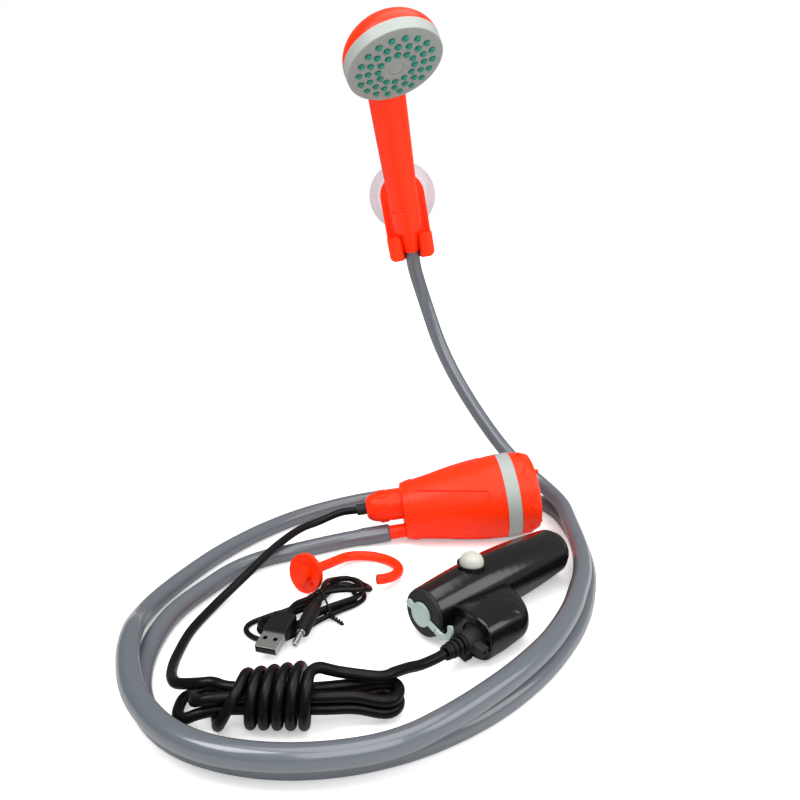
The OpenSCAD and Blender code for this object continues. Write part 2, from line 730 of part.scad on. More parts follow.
module gland_grommet() {
    color(black) at_gland() difference() {
        rod_x(gland_x - 7, gland_x, sleeve_d);
        rod_x(gland_x - 8, gland_x + 1, cable_d + 2 * seat);
    }
}

module cable_sleeve() {
    color(black) at_gland() difference() {
        rod_x(sleeve_x, gland_x - 7.1, sleeve_d);
        rod_x(sleeve_x - 1, gland_x, cable_d + 2 * seat);
    }
}

module outlet_nipple() {
    color(dark_orange) at_outlet() difference() {
        union() {
            rod_x(-nipple_l, pump_wall + 2, nipple_d);
            rod_x(-nipple_l - barb_l, -nipple_l + e, hose_bore);
        }
        rod_x(-nipple_l - barb_l - 1, pump_wall + 3, hose_bore - 2.4);
    }
}

// Pump cable and its hank

hank_x = -57;
hank_y = -321;
hank_right = 55;
hank_left = 38;
// The second loop reaches further left than the first
hank_nest = 8.1;
waist = 3.15;
hank_level = cable_d / 2 + 0.45;
wrap_r = waist + hank_level + cable_d - 0.9;
wrap_pitch = cable_d + 0.8;
wrap_p0 = -14.6;
wrap_grow = 0.4;
hank_rise = wrap_r + cable_d / 2 + 0.15;
hank_droop = 5;
hank_bow = 9;
hank_start = 0.13;
hank_stop = 2.05;
// Point along, across and above the hank, whose ends bow away from the front
function hank_pos(p, q, h) = [hank_x + p, hank_y + q + hank_bow * smooth((abs(p) - 20) / 40), floor_z + h];
function hank_sag(p) = hank_droop * smooth((abs(p) - 28) / (p > 0 ? 26 : 18));
// Spreads the steps of a loop so that its two bends get most of them
function spread(t) = 360 * t - 11 * sin(720 * t);
// Two folded loops, one on the other, drawn in at the waist; t counts loops
function hank_loop(t) = let (a = spread(t), nest = hank_nest * smooth((t - 1.3) * 2.5), left = cos(a) > 0,
                             p = -cos(a) * (left ? hank_left + nest : hank_right))
    hank_pos(p, sin(a) * (waist + (left ? 20 + 1.6 * nest : 24) * pow(abs(cos(a)), 5)),
             hank_rise + hank_level * (1 - 2 * smooth((t - 0.88) / 0.24)) - hank_sag(p));
// Binding turns, wound over the top and down the far side, each wider than the last
function wrap_p(a) = wrap_p0 + wrap_pitch * (a - 90) / 360;
function wrap_more(a) = wrap_grow * (a - 90) / 360;
function hank_wrap(a) = let (g = wrap_more(a))
    hank_pos(wrap_p(a), -(wrap_r + g) * cos(a), hank_rise + g + (wrap_r + g) * sin(a));
wrap_end = 90 + 360 * (wrap_turns - 1);
hank_loops = [for (k = [0:50]) hank_loop(hank_start + (hank_stop - hank_start) * k / 50)];
hank_low = cable_d / 2 + 0.15;
// Under the loops and up the near side, slanting into the binding turns
hank_slant = [hank_pos(-41.4, 9.9, hank_low + 1.6), hank_pos(-37.4, 11, hank_low + 0.5),
              hank_pos(-33.4, 9, hank_low), hank_pos(-29.8, 3.6, hank_low),
              hank_pos(-27, -2.8, hank_low), hank_pos(-25.2, -wrap_r * 0.76, hank_low + 2.2),
              hank_pos(-22.6, -wrap_r, hank_rise - 3), hank_pos(-19.2, -wrap_r, hank_rise + 3.4),
              hank_pos(-16.2, -wrap_r * 0.66, hank_rise + wrap_r * 0.8)];
hank_curve = concat([hank_loops[0] - [cable_d, 0, 0.5]], hank_loops, hank_slant,
    [for (a = [90:15:wrap_end]) hank_wrap(a)],
    [hank_pos(wrap_p(wrap_end) + 3, 2.6, hank_rise + wrap_r + 2 * wrap_more(wrap_end) - 0.3),
     hank_pos(wrap_p(wrap_end) + 8, 4.4, hank_rise + wrap_r + 1),
     hank_pos(wrap_p(wrap_end) + 14, 4.4, hank_rise + wrap_r - 1.2)]);
cable_route = [[-58, -144, 17.4], [-70, -156, 17], [-83, -177, 14.5], [-96, -202, 9], [-109, -228, 4],
               [-116, -252, 2.9], [-117, -274, 3], [-115, -289, 4.6], [-111, -300, 7.6],
               [-105.5, -307.5, 10.8]];
hank_in = unit(hank_curve[1] - hank_curve[0]);
hank_out = unit(last(hank_curve) - hank_curve[len(hank_curve) - 2]);
cable_curve = concat([pump_at(gland_x - 7, 0, gland_rise), pump_at(sleeve_x, 0, gland_rise),
                      pump_at(sleeve_x - 12, 0, gland_rise)],
                     spline(on_floor(cable_route), 2), [hank_curve[0] - cable_d * hank_in, hank_curve[0]]);
tail_route = [[-11, -313.5, 19], [-4, -308.5, 17.8], [2, -302.5, 15.6], [8, -297, 13.2]];
relief_l = 12;
relief_end = -9 - relief_l;
tail_curve = concat([last(hank_curve), last(hank_curve) + cable_d * hank_out],
                    spline(on_floor(tail_route), 2),
                    [pod_at(relief_end - 7), pod_at(relief_end)]);

module pump_cable() { color(black) tube(cable_curve, cable_d / 2, 8); }
module cable_hank() { color(black) tube(hank_curve, cable_d / 2, 6); }
module cable_tail() { color(black) tube(tail_curve, cable_d / 2, 8); }

// Battery pack

cap_t = 4;
shell_x0 = 2;
shell_x1 = pack_l - 6;
spigot_l = 4;
button_seat = 12;
button_z = button_seat + button_travel + clear;
boss_d = button_d + 2.8;
boss_top = pack_r(button_x / pack_l) + 0.9;
socket_d = 16.4;
socket_l = 17;

module pack_shell() {
    color(black) at_pack() difference() {
        union() {
            turned_x(concat([[shell_x0, 0]],
                [for (k = [0:16]) let (x = shell_x0 + (shell_x1 - shell_x0) * k / 16)
                [x, pack_r(x / pack_l)]], [[shell_x1, 0]]));
            translate([button_x, 0, 0]) cylinder(d = boss_d, h = boss_top);
            // Pod beside the tube, round at its rear, with a web that flows back into the tube
            translate([pod_x, -pod_out, pod_rise - pack_rise]) turned_x(concat(
                [[0, 0], [0, pod_d / 2 - 0.6], [0.6, pod_d / 2]],
                [for (k = [0:8]) let (a = 90 * k / 8) [pod_l + pod_d / 2 * sin(a), pod_d / 2 * cos(a)]]));
            translate([pod_x, 0, pod_rise - pack_rise - pod_d / 2 + 1.5])
                linear_extrude(pod_d - 3) difference() {
                translate([0, -pod_out]) square([pod_l + 16, pod_out]);
                translate([pod_l + 16, -pod_out + 6]) circle(r = 9);
                translate([pod_l + 7, -pod_out - 10]) square([20, 16]);
            }
        }
        rod_x(shell_x0 - 1, shell_x1 + 1, pack_bore);
        // Well and stem hole of the button
        translate([button_x, 0, button_seat]) cylinder(d = button_d + 2 * clear, h = 20);
        translate([button_x, 0, 0]) cylinder(d = 4.6, h = 20);
        // Socket of the pod and the way for its wires
        translate([pod_x, -pod_out, pod_rise - pack_rise]) rod_x(-1, socket_l, socket_d + 2 * seat);
        translate([pod_x + 12, 0, pod_rise - pack_rise]) rotate([90, 0, 0])
            cylinder(d = 4, h = pod_out - 6);
    }
}

module power_socket() {
    color(dark_grey) at_pod() difference() {
        rod_x(1.2, socket_l - 0.1, socket_d);
        rod_x(0, socket_l - 2, plug_d + 2 * seat);
    }
}

// Plug with two wing tabs, and its ribbed relief
module battery_plug() {
    wing = [5.4, 6.4, 5];
    color(black) at_pod() difference() {
        union() {
            rod_x(-9, socket_l - 2.2, plug_d);
            for (a = [100, 190]) rotate([a, 0, 0])
                translate([-6.8, -wing.z / 2, plug_d / 2 - 1]) difference() {
                cube([wing.x, wing.z, wing.y]);
                translate([1.6, 1.5, wing.y - 3]) cube([2.4, 2, 5]);
            }
        }
        rod_x(-20, 2, cable_d + 2 * seat);
    }
}

module plug_relief() {
    ribs = 4;
    pitch = relief_l / ribs;
    color(black) at_pod() difference() {
        union() {
            rod_x(relief_end, -9, cable_d + 2.2);
            for (k = [0:ribs - 1]) rod_x(-9 - pitch * (k + 0.62), -9 - pitch * k, 10.4 - k * 0.8);
        }
        rod_x(relief_end - 1, 1, cable_d + 2 * seat);
    }
}

module front_cap() {
    color(dark_grey) at_pack() difference() {
        union() {
            turned_x([[-0.6, 0], [-0.6, pack_d1 / 2 - 1], [0, pack_d1 / 2 - 0.3],
                      [shell_x0, pack_d1 / 2 - 0.1], [shell_x0, 0]]);
            rod_x(shell_x0 - e, shell_x0 + spigot_l, pack_bore - 2 * seat);
        }
        rod_x(-2, shell_x0 + spigot_l + 1, jack_d + 0.2);
        // Groove of the ring seal
        rotate([0, 90, 0]) translate([0, 0, shell_x0 + 1.5]) rotate_extrude()
            translate([pack_bore / 2 - 0.95, -0.6]) square([2, 1.3]);
    }
}

module rear_cap() {
    color(black) at_pack() difference() {
        union() {
            turned_x([[shell_x1, 0], [shell_x1, pack_r(shell_x1 / pack_l) - 0.1],
                      [shell_x1 + 1.8, pack_d1 / 2 - 0.2], [shell_x1 + 1.8, pack_d1 / 2 - 1.4],
                      [pack_l - 1, pack_d1 / 2 - 2], [pack_l, pack_d1 / 2 - 3], [pack_l, 0]]);
            rod_x(shell_x1 - spigot_l, shell_x1 + e, pack_bore - 2 * seat);
        }
        rotate([0, 90, 0]) translate([0, 0, shell_x1 - 2.2]) rotate_extrude()
            translate([pack_bore / 2 - 0.95, -0.6]) square([2, 1.3]);
    }
}

module cap_seals() {
    color(dark_orange) at_pack() for (x = [shell_x0 + 1.55, shell_x1 - 2.15])
        rotate([0, 90, 0]) translate([0, 0, x]) rotate_extrude()
            translate([pack_bore / 2 - 0.5, 0]) circle(d = 0.9, $fn = 24);
}

module power_button() {
    stem = 3.2;
    rise = boss_top - button_z + 0.6;
    color(ivory) at_pack() translate([button_x, 0, button_z]) {
        rotate_extrude() polygon(concat([[0, 0], [button_d / 2, 0]],
            [for (k = [0:10]) let (a = 90 * k / 10) [button_d / 2 * cos(a), rise + button_dome * sin(a)]]));
        translate([0, 0, -stem]) cylinder(d = 4, h = stem + e);
    }
}

switch_w = 6;
switch_t = 2.6;
switch_pin_d = 2.6;
board_z = 3.8;
board_t = 1.6;
board_w = 16;
jack_d = 6.2;
jack_end = shell_x0 + spigot_l + 5.9;
module button_switch() {
    color(dark_grey) at_pack() translate([button_x, 0, 0]) {
        translate([-switch_w / 2, -switch_w / 2, board_z + board_t]) cube([switch_w, switch_w, switch_t]);
        cylinder(d = switch_pin_d, h = board_z + board_t + switch_t + 0.8);
    }
}

// The cell fills the room behind the switch, and the board ends before it
cell_nub = 1;
cell_x0 = button_x + switch_w / 2 + cell_room;
cell_x1 = shell_x1 - spigot_l - cell_room;
module circuit_board() {
    board_x = jack_end + 0.1;
    color([0.1, 0.35, 0.2]) at_pack() difference() {
        translate([board_x, -board_w / 2, board_z]) cube([cell_x0 - cell_room - board_x, board_w, board_t]);
        translate([button_x, 0, 0]) cylinder(d = switch_pin_d + 0.4, h = board_z + 2 * board_t);
    }
}

module charge_jack() {
    color(steel) at_pack() difference() {
        rod_x(0.4, jack_end, jack_d);
        rod_x(-1, jack_end - 1.9, barrel_d + 0.3);
    }
}

// The cover lies across the front at this angle below level
cover_slope = -19;
cover_x = -0.6 - clear;
hinge_q = 11.2;
hinge_gap = 0.15;
cover_open = 110;
module at_cover() {
    at_pack() rotate([-cover_slope, 0, 0]) translate([cover_x, 0, 0]) rotate([0, -90, 0]) children();
}

module at_hinge() { translate([0, -hinge_q, cover_t / 2]) rotate([0, 90, 0]) children(); }

// Disc with a finger tab; its strap ends in a round bead on the hinge line
module charge_cover() {
    color(pale_green) at_cover() {
        linear_extrude(cover_t) {
            circle(d = cover_d);
            translate([-1.5, -hinge_q]) square([3, hinge_q - 4]);
            translate([-1.7, 0]) square([3.4, cover_d / 2 + 2.6]);
            translate([0, cover_d / 2 + 2.6]) circle(d = 4.4);
        }
        translate([0, 0, -1.6]) cylinder(d = 3, h = 1.6 + e);
        at_hinge() cylinder(d = cover_t, h = 3, center = true);
    }
}

// Anchored end of the strap, which curls up past the rim
module cover_strap() {
    curl = 6.4;
    strap_w = 3;
    color(pale_green) at_cover() {
        difference() {
            linear_extrude(cover_t) {
                translate([-strap_w / 2, -hinge_q - 3.4]) square([strap_w, 3.1]);
                translate([curl, -hinge_q - 3.4]) rotate([0, 0, 180]) difference() {
                    circle(r = curl + strap_w / 2);
                    circle(r = curl - strap_w / 2);
                    translate([-20, -20]) square([40, 20]);
                    rotate([0, 0, 130]) translate([-20, 0]) square([40, 20]);
                }
            }
            // Room for the bead and for the open cover
            at_hinge() cylinder(d = cover_t + 2 * hinge_gap, h = 8, center = true);
            translate([0, -hinge_q, cover_t / 2]) rotate([cover_open, 0, 0])
                translate([-4, 0, -cover_t / 2 - hinge_gap]) cube([8, 8, cover_t + 2 * hinge_gap]);
        }
        translate([0, -hinge_q - 2.4, -clear - 0.05]) cylinder(d = 1.8, h = clear + 0.1);
    }
}

module battery_cell() {
    color([0.2, 0.45, 0.75]) at_pack() {
        rod_x(cell_x0 + cell_nub, cell_x1, cell_d);
        rod_x(cell_x0, cell_x0 + cell_nub + e, 6);
    }
}

// Hanging hook: a disc with a boss, a shank and a round bend

module hanging_hook() {
    disc_t = 3;
    sweep = 216;
    color(orange) at_hook() difference() {
        union() {
            rod_x(-disc_t / 2, disc_t / 2, hook_disc_d);
            rod_x(-disc_t / 2 - 4.5, 0, 11);
            rod_x(0, hook_shank, hook_rod_d);
            translate([hook_shank, -hook_bend, 0]) rotate([0, 0, 90 - sweep])
                rotate_extrude(angle = sweep) translate([hook_bend, 0]) circle(d = hook_rod_d);
        }
        // Small hole through the disc
        translate([0, -6.5, -5]) rod_x(-5, 5, 2.6);
    }
}

// Charging lead: its hank, tie, flat plug and round plug

lead_x = -50;
lead_y = -233;
lead_yaw = 44.5;
lead_left = 30;
lead_right = 29;
lead_layer = lead_d + 0.8;
lead_step = 6.2;
lead_waist = 2.3;
lead_bow = 6.5;
tie_d = 1.2;
tie_low = tie_d / 2 + 0.05;
// The hank's waist is lifted by the tie that passes under it
tie_lift = 1.25;
// Point along, across and above the hank, whose ends bow away from the front
function lead_pos(p, q, h) = let (v = q + lead_bow * pow(p / 38, 2))
    [lead_x + p * cos(lead_yaw) - v * sin(lead_yaw),
     lead_y + p * sin(lead_yaw) + v * cos(lead_yaw), floor_z + h];
// Loops spiral in on the floor, climb, and spiral out on top; t counts loops
function lead_offset(t) = lead_step * abs(t - 2);
function lead_level(t) = lead_d / 2 + 0.2 + lead_layer * smooth((t - 1.75) * 2);
function lead_loop(t) = let (a = spread(t), o = lead_offset(t), bend = cos(a) * cos(a), right = cos(a) > 0)
    lead_pos(((right ? lead_right : lead_left) + o) * cos(a),
             sin(a) * (lead_waist + o * (0.84 + 0.16 * bend) + (right ? 17 : 14) * bend),
             lead_level(t) + tie_lift * pow(sin(a), 4));

usb_tip = [-70.6, -277.5, floor_z + 7.6];
usb_yaw = 74;
usb_tilt = 10;
usb_body_l = 13;
module at_usb() { translate(usb_tip) rotate([0, -usb_tilt, usb_yaw]) children(); }
function usb_at(x) =
    usb_tip + x * [cos(usb_tilt) * cos(usb_yaw), cos(usb_tilt) * sin(usb_yaw), sin(usb_tilt)];

dc_back = lead_pos(-1.6, -4.6, 12.8);
dc_yaw = -104;
dc_dip = 9;
dc_body_l = 18.5;
dc_relief_l = 8;
collar_d = barrel_d + 1;
module at_dc() { translate(dc_back) rotate([0, dc_dip, dc_yaw]) children(); }
function dc_at(x) = dc_back + x * [cos(dc_dip) * cos(dc_yaw), cos(dc_dip) * sin(dc_yaw), -sin(dc_dip)];

usb_back = usb_l + usb_body_l;
lead_curve = concat(
    [usb_at(usb_back), usb_at(usb_back + lead_d)],
    [lead_pos(-18.5, -2.4, 12), lead_pos(-12, 1.6, 11.8), lead_pos(-5, 2.8, 11), lead_pos(3, 2.8, 10.5),
     lead_pos(10, 1.2, 10.3), lead_pos(16, -2.2, 10.1), lead_pos(22, -7.8, 9.9), lead_pos(28, -13, 9.2),
     lead_pos(34, -13.8, 6.4), lead_pos(38.6, -8.6, 3.6), lead_pos(40, -2, 2.2)],
    [for (k = [0:74]) lead_loop(0.03 + 3.1 * k / 74)],
    [lead_pos(22.5, 12, 8), lead_pos(16, 8.4, 11.6), lead_pos(9, 3.4, 14), dc_at(-lead_d), dc_back]);

module lead_hank() { color(black) tube(lead_curve, lead_d / 2, 6); }

module usb_shell() {
    color(steel) at_usb() difference() {
        translate([0, -usb_w / 2, -usb_t / 2]) cube([usb_l + 6, usb_w, usb_t]);
        translate([-1, -usb_w / 2 + 0.35, -usb_t / 2 + 0.35]) cube([usb_l + 5, usb_w - 0.7, usb_t - 0.7]);
        for (s = [-1, 1]) translate([usb_l * 0.45, s * 2.9 - 1.1, 0]) cube([2.2, 2.2, usb_t]);
    }
}

module usb_tongue() {
    color(dark_grey) at_usb() translate([0.8, -usb_w / 2 + 0.45, -usb_t / 2 + 0.4])
        cube([usb_l + 2.9, usb_w - 0.9, 1.84]);
}

module usb_body() {
    body_w = 13.4;
    body_t = 7.4;
    color(black) at_usb() difference() {
        union() {
            translate([usb_l, 0, 0]) rotate([0, 90, 0]) linear_extrude(usb_body_l) {
                square([body_t - 3, body_w], center = true);
                square([body_t, body_w - 3], center = true);
                for (s = [-1, 1], v = [-1, 1])
                    translate([s * (body_t / 2 - 1.5), v * (body_w / 2 - 1.5)]) circle(r = 1.5);
            }
        }
        translate([usb_l - 1, -usb_w / 2 - seat, -usb_t / 2 - seat])
            cube([7 + seat, usb_w + 2 * seat, usb_t + 2 * seat]);
    }
}

// Tie round the waist of the lead's hank, with its two tails twisted together
module twist_tie() {
    reach = lead_waist + 1.75 * 0.84 * lead_step + lead_d / 2 + 1.4;
    low = tie_low;
    half = (16.6 - low) / 2;
    square_r = function (a) pow(pow(abs(cos(a)), 8) + pow(abs(sin(a)), 8), -1 / 8);
    ring = [for (k = [0:42]) let (a = 212 - 336 * k / 42, f = square_r(a))
        lead_pos(2.4 + k * 0.04, reach * cos(a) * f, low + half + half * sin(a) * f)];
    tail = function (k, turn) lead_pos(3 + 0.8 * cos(turn + 60 * k), -reach - 0.2 - 0.75 * k,
                                       2.6 + 0.8 * sin(turn + 60 * k));
    color(black) tube(concat([for (k = [12:-1:0]) tail(k, 150)], ring, [for (k = [0:12]) tail(k, 330)]),
                      tie_d / 2, 6);
}

module dc_plug() {
    body_d = 8.4;
    ribs = 3;
    color(black) at_dc() difference() {
        union() {
            turned_x([[dc_relief_l - 0.5, 0], [dc_relief_l - 0.5, 3.6], [dc_relief_l + 1.5, body_d / 2],
                      [dc_relief_l + dc_body_l - 1, body_d / 2],
                      [dc_relief_l + dc_body_l, body_d / 2 - 1], [dc_relief_l + dc_body_l, 0]]);
            rod_x(0, dc_relief_l, lead_d + 1.6);
            for (k = [0:ribs - 1]) rod_x(0.9 + k * 2.4, 2.4 + k * 2.4, 5.4 + k * 0.6);
        }
        rod_x(dc_relief_l + dc_body_l - 6, dc_relief_l + dc_body_l + 1, collar_d + 2 * seat);
    }
}

module dc_barrel() {
    color(steel) at_dc() difference() {
        union() {
            rod_x(dc_relief_l + dc_body_l - e, dc_relief_l + dc_body_l + barrel_l, barrel_d);
            rod_x(dc_relief_l + dc_body_l - 5.9, dc_relief_l + dc_body_l, collar_d);
        }
        rod_x(dc_relief_l + dc_body_l + 1, dc_relief_l + dc_body_l + barrel_l + 1, 1.35);
    }
}

echo(hose_length = path_length(riser_curve) + path_length(spline(loops_curve, 4)));
echo(cable_length = path_length(cable_curve) + path_length(hank_curve) + path_length(tail_curve));
echo(cable_hank_gap = self_gap(hank_curve, 8) - cable_d);
echo(lead_length = path_length(lead_curve));
echo(lead_hank_gap = self_gap(lead_curve, 8) - lead_d);

suction_cup();
bracket();
hose_nut();
nut_washer();
handset_shell();
spray_plate();
nozzle_mat();
face_seal();
centre_cap();
hose_riser();
hose_loops();
pump_body();
pump_band();
pump_chamber();
shaft_seal();
intake_plate();
strainer_cap();
filter_screen();
motor_can();
motor_bushes();
motor_shaft();
impeller();
gland_nut();
gland_grommet();
cable_sleeve();
outlet_nipple();
pump_cable();
cable_hank();
cable_tail();
battery_plug();
plug_relief();
power_socket();
pack_shell();
front_cap();
rear_cap();
cap_seals();
power_button();
button_switch();
circuit_board();
charge_jack();
charge_cover();
cover_strap();
battery_cell();
hanging_hook();
usb_shell();
usb_tongue();
usb_body();
lead_hank();
twist_tie();
dc_plug();
dc_barrel();
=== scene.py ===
"""Camp shower kit: cords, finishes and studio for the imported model, laid out as an add-on."""

import bpy
import numpy as np
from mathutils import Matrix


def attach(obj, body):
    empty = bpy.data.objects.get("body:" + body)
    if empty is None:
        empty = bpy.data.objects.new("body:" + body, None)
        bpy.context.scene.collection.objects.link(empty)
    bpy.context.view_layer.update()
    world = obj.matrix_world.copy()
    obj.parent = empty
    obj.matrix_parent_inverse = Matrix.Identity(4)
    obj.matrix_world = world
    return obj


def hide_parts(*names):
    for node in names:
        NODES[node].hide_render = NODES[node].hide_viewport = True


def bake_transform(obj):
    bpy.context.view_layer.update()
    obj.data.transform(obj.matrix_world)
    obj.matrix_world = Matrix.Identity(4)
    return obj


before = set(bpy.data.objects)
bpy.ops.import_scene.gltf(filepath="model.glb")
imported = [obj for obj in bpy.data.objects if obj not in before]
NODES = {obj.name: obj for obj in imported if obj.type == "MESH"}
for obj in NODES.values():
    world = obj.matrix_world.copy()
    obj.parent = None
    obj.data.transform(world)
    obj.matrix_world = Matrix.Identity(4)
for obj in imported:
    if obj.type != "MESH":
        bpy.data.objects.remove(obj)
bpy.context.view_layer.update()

bl_info = {
    "name": "Camp Shower Kit",
    "version": (1, 0, 0),
    "blender": (4, 5, 0),
    "location": "3D View > Sidebar > Camp Shower",
    "description": "Lays the hose, cable and charging lead, and finishes every piece of the kit",
    "category": "Object",
}

MM = 0.001
FLOOR = -237.0


def turned(axis, degrees):
    """Rotation matrix about x, y or z."""
    a = np.radians(degrees)
    c, s = np.cos(a), np.sin(a)
    i, j = {"x": (1, 2), "y": (2, 0), "z": (0, 1)}[axis]
    m = np.eye(3)
    m[i, i] = m[j, j] = c
    m[i, j], m[j, i] = -s, s
    return m


SEAT = turned("y", -10) @ turned("x", 22)
SEAT_AT = turned("y", -10) @ np.array([0.0, -28.0, -42.0])
PUMP = turned("z", 5) @ turned("y", -7.5)
PUMP_AT = np.array([0.0, -134.0, FLOOR + 21.011])
PACK = turned("z", 41)
PACK_AT = np.array([10.5, -258.0, FLOOR + 16.9])
POD_FACE, POD_AXIS = 10.0, (-28.0, -4.7)
OUTLET_AXIS = (-7.0, -11.5)
GLAND_RISE = 6.0
HANDSET = SEAT @ turned("z", 13)
HEAD = HANDSET @ turned("x", 132)
HEAD_AT = SEAT_AT + HANDSET @ np.array([0.0, -38.0, 140.4])


def seat_at(s):
    """Point on the handset's axis, s above the mouth of its seat."""
    return SEAT_AT + SEAT @ np.array([0.0, 0.0, s])


def pump_at(x, y, z):
    """Point in the pump's own frame, whose x runs from the gland to the strainer."""
    return PUMP_AT + PUMP @ np.array([x, y, z])


def pod_at(x):
    """Point on the axis of the pack's power socket, x behind the pod's front."""
    return PACK_AT + PACK @ np.array([POD_FACE + x, *POD_AXIS])


def on_floor(route):
    """Route points as x, y and height above the floor."""
    return np.array(route, float) + [0, 0, FLOOR]


# Curves and surfaces

SPAN_SAMPLES = 12
EASE_ROUNDS, EASE_SHARE = 160, 0.5
EASE_FROM, EASE_SPAN = 0.8, 0.4


def smooth(v):
    """Rises from 0 to 1 with flat ends."""
    u = np.clip(v, 0, 1)
    return u * u * (3 - 2 * u)


def unit(v):
    """Vectors brought to length 1."""
    return v / np.linalg.norm(v, axis=-1, keepdims=True)


def round_angles(count):
    """Angles evenly round a circle."""
    return np.linspace(0, 2 * np.pi, count, endpoint=False)


def even_curve(points, step):
    """Cubic through the points, each tangent along its neighbours' chord, resampled at an even step.
    Returns the path and the distance run at each of its points."""
    p = np.asarray(points, float)
    keep = np.r_[True, np.linalg.norm(np.diff(p, axis=0), axis=1) > 1e-6]
    p = p[keep]
    a, b, c, d = p[np.r_[0, 0:len(p) - 2]], p[:-1], p[1:], p[np.r_[2:len(p), len(p) - 1]]
    u = np.linspace(0, 1, SPAN_SAMPLES, endpoint=False)[None, :, None]
    a, b, c, d = (q[:, None, :] for q in (a, b, c, d))
    dense = (2 * b + (c - a) * u + (2 * a - 5 * b + 4 * c - d) * u**2 + (3 * b - a - 3 * c + d) * u**3) / 2
    dense = np.vstack([dense.reshape(-1, 3), p[-1:]])
    run = np.r_[0, np.cumsum(np.linalg.norm(np.diff(dense, axis=0), axis=1))]
    at = np.linspace(0, run[-1], max(8, int(round(run[-1] / step)) + 1))
    return np.stack([np.interp(at, run, dense[:, k]) for k in range(3)], axis=1), at


def ease_bends(path, least):
    """Rounds the sharp bends of an evenly spaced path. Where it turns in less than the least radius, each
    point moves towards the middle of its neighbours, over and over."""
    path = path.copy()
    step = np.linalg.norm(np.diff(path, axis=0), axis=1).mean()
    for _ in range(EASE_ROUNDS):
        pull = (path[:-2] + path[2:]) / 2 - path[1:-1]
        turn = 2 * np.linalg.norm(pull, axis=1) / step**2
        path[1:-1] += EASE_SHARE * smooth((turn * least - EASE_FROM) / EASE_SPAN)[:, None] * pull
    return path


def carried_normals(path):
    """Two normals at each point of a path. They start from the axis least along the path, and the turn
    between neighbours is summed and taken off, so they don't twist."""
    t = unit(np.gradient(path, axis=0))
    ref = np.eye(3)[np.abs(t).argmin(axis=1)]
    e = unit(np.cross(t, ref))
    v = unit(e[:-1] - (e[:-1] * t[1:]).sum(1, keepdims=True) * t[1:])
    slip = np.arctan2((np.cross(e[1:], v) * t[1:]).sum(1), (e[1:] * v).sum(1))
    phi = np.r_[0, np.cumsum(slip)][:, None]
    n = np.cos(phi) * e + np.sin(phi) * np.cross(t, e)
    return n, np.cross(t, n)


def rings_along(path, radius, sides):
    """Rings of points square to a path, each with its own radius."""
    n, b = carried_normals(path)
    a = round_angles(sides)[None, :, None]
    across = np.cos(a) * n[:, None, :] + np.sin(a) * b[:, None, :]
    return path[:, None, :] + radius[:, None, None] * across


def lathe(profile, sides):
    """Surface of revolution about z: each pair of radius and height carried round in a circle."""
    r, z = np.asarray(profile, float).T
    a = round_angles(sides)
    return np.stack([np.outer(r, np.cos(a)), np.outer(r, np.sin(a)), np.outer(z, np.ones(sides))], axis=-1)


def row_quads(rows, count):
    """Corners of the quads between rows of so many points, each row closed on itself."""
    i, k = np.meshgrid(np.arange(rows - 1) * count, np.arange(count), indexing="ij")
    j = (k + 1) % count
    return np.stack([i + k, i + j, i + count + j, i + count + k], axis=-1).reshape(-1, 4)


def new_mesh(name, points, faces, soft):
    """Mesh from points in millimetres, whose first faces, as many as soft, are shaded smooth."""
    mesh = bpy.data.meshes.new(name)
    mesh.from_pydata((points.reshape(-1, 3) * MM).tolist(), [], faces)
    mesh.polygons.foreach_set("use_smooth", np.arange(len(faces)) < soft)
    mesh.update()
    return mesh


def grid_mesh(name, points, uv, open_start=False):
    """Mesh of a grid of points whose rows close on themselves, with a UV map and flat ends, of which the
    first can stay open."""
    m, n = points.shape[:2]
    quads = row_quads(m, n)
    ends = [list(range((m - 1) * n, m * n))]
    if not open_start:
        ends.append(list(range(n))[::-1])
    mesh = new_mesh(name, points, quads.tolist() + ends, len(quads))
    u, v = uv
    i, k = np.divmod(np.arange(len(quads)), n)
    corners = np.zeros((len(mesh.loops), 2), np.float32)
    corners[:quads.size, 0] = np.stack([u[i], u[i], u[i + 1], u[i + 1]], axis=-1).ravel()
    corners[:quads.size, 1] = np.stack([v[k], v[k + 1], v[k + 1], v[k]], axis=-1).ravel()
    mesh.uv_layers.new(name="Along").data.foreach_set("uv", corners.ravel())
    return mesh


def grid_meshes(name, grids):
    """One mesh of many grids of the same size, their rows closed on themselves and their end rows filled."""
    g, m, n = grids.shape[:3]
    start = np.arange(g) * m * n
    quads = (start[:, None, None] + row_quads(m, n)).reshape(-1, 4)
    first = start[:, None] + np.arange(n)
    faces = quads.tolist() + first[:, ::-1].tolist() + (first + (m - 1) * n).tolist()
    return new_mesh(name, grids, faces, len(faces))


def add_piece(mesh, body=None):
    """New object for a mesh, at the origin, riding on a body if one is named."""
    piece = bpy.data.objects.new(mesh.name, mesh)
    bpy.context.scene.collection.objects.link(piece)
    if body:
        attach(piece, body)
    return piece


def add_grid(name, points, body, open_start=False):
    """Piece from a grid of points, with rows evenly along u and columns evenly along v."""
    uv = np.linspace(0, 1, points.shape[0]), np.linspace(0, 1, points.shape[1] + 1)
    return add_piece(grid_mesh(name, points, uv, open_start), body)


def lay_cord(name, points, diameter, step, sides, least=0.0, swell=None):
    """Round tube along the points: rings of even spacing square to the path, whose radius is half the
    diameter times swell at that distance from the far end. Returns the mesh, its path and its length."""
    path, run = even_curve(points, step)
    if least:
        path, run = even_curve(ease_bends(path, least), step)
    radius = np.full(len(run), diameter / 2)
    if swell:
        radius = radius * swell(run[-1] - run)
    mesh = grid_mesh(name, rings_along(path, radius, sides), (run * MM, np.linspace(0, 1, sides + 1)))
    return mesh, path, float(run[-1])


# Routes of the cords, in millimetres

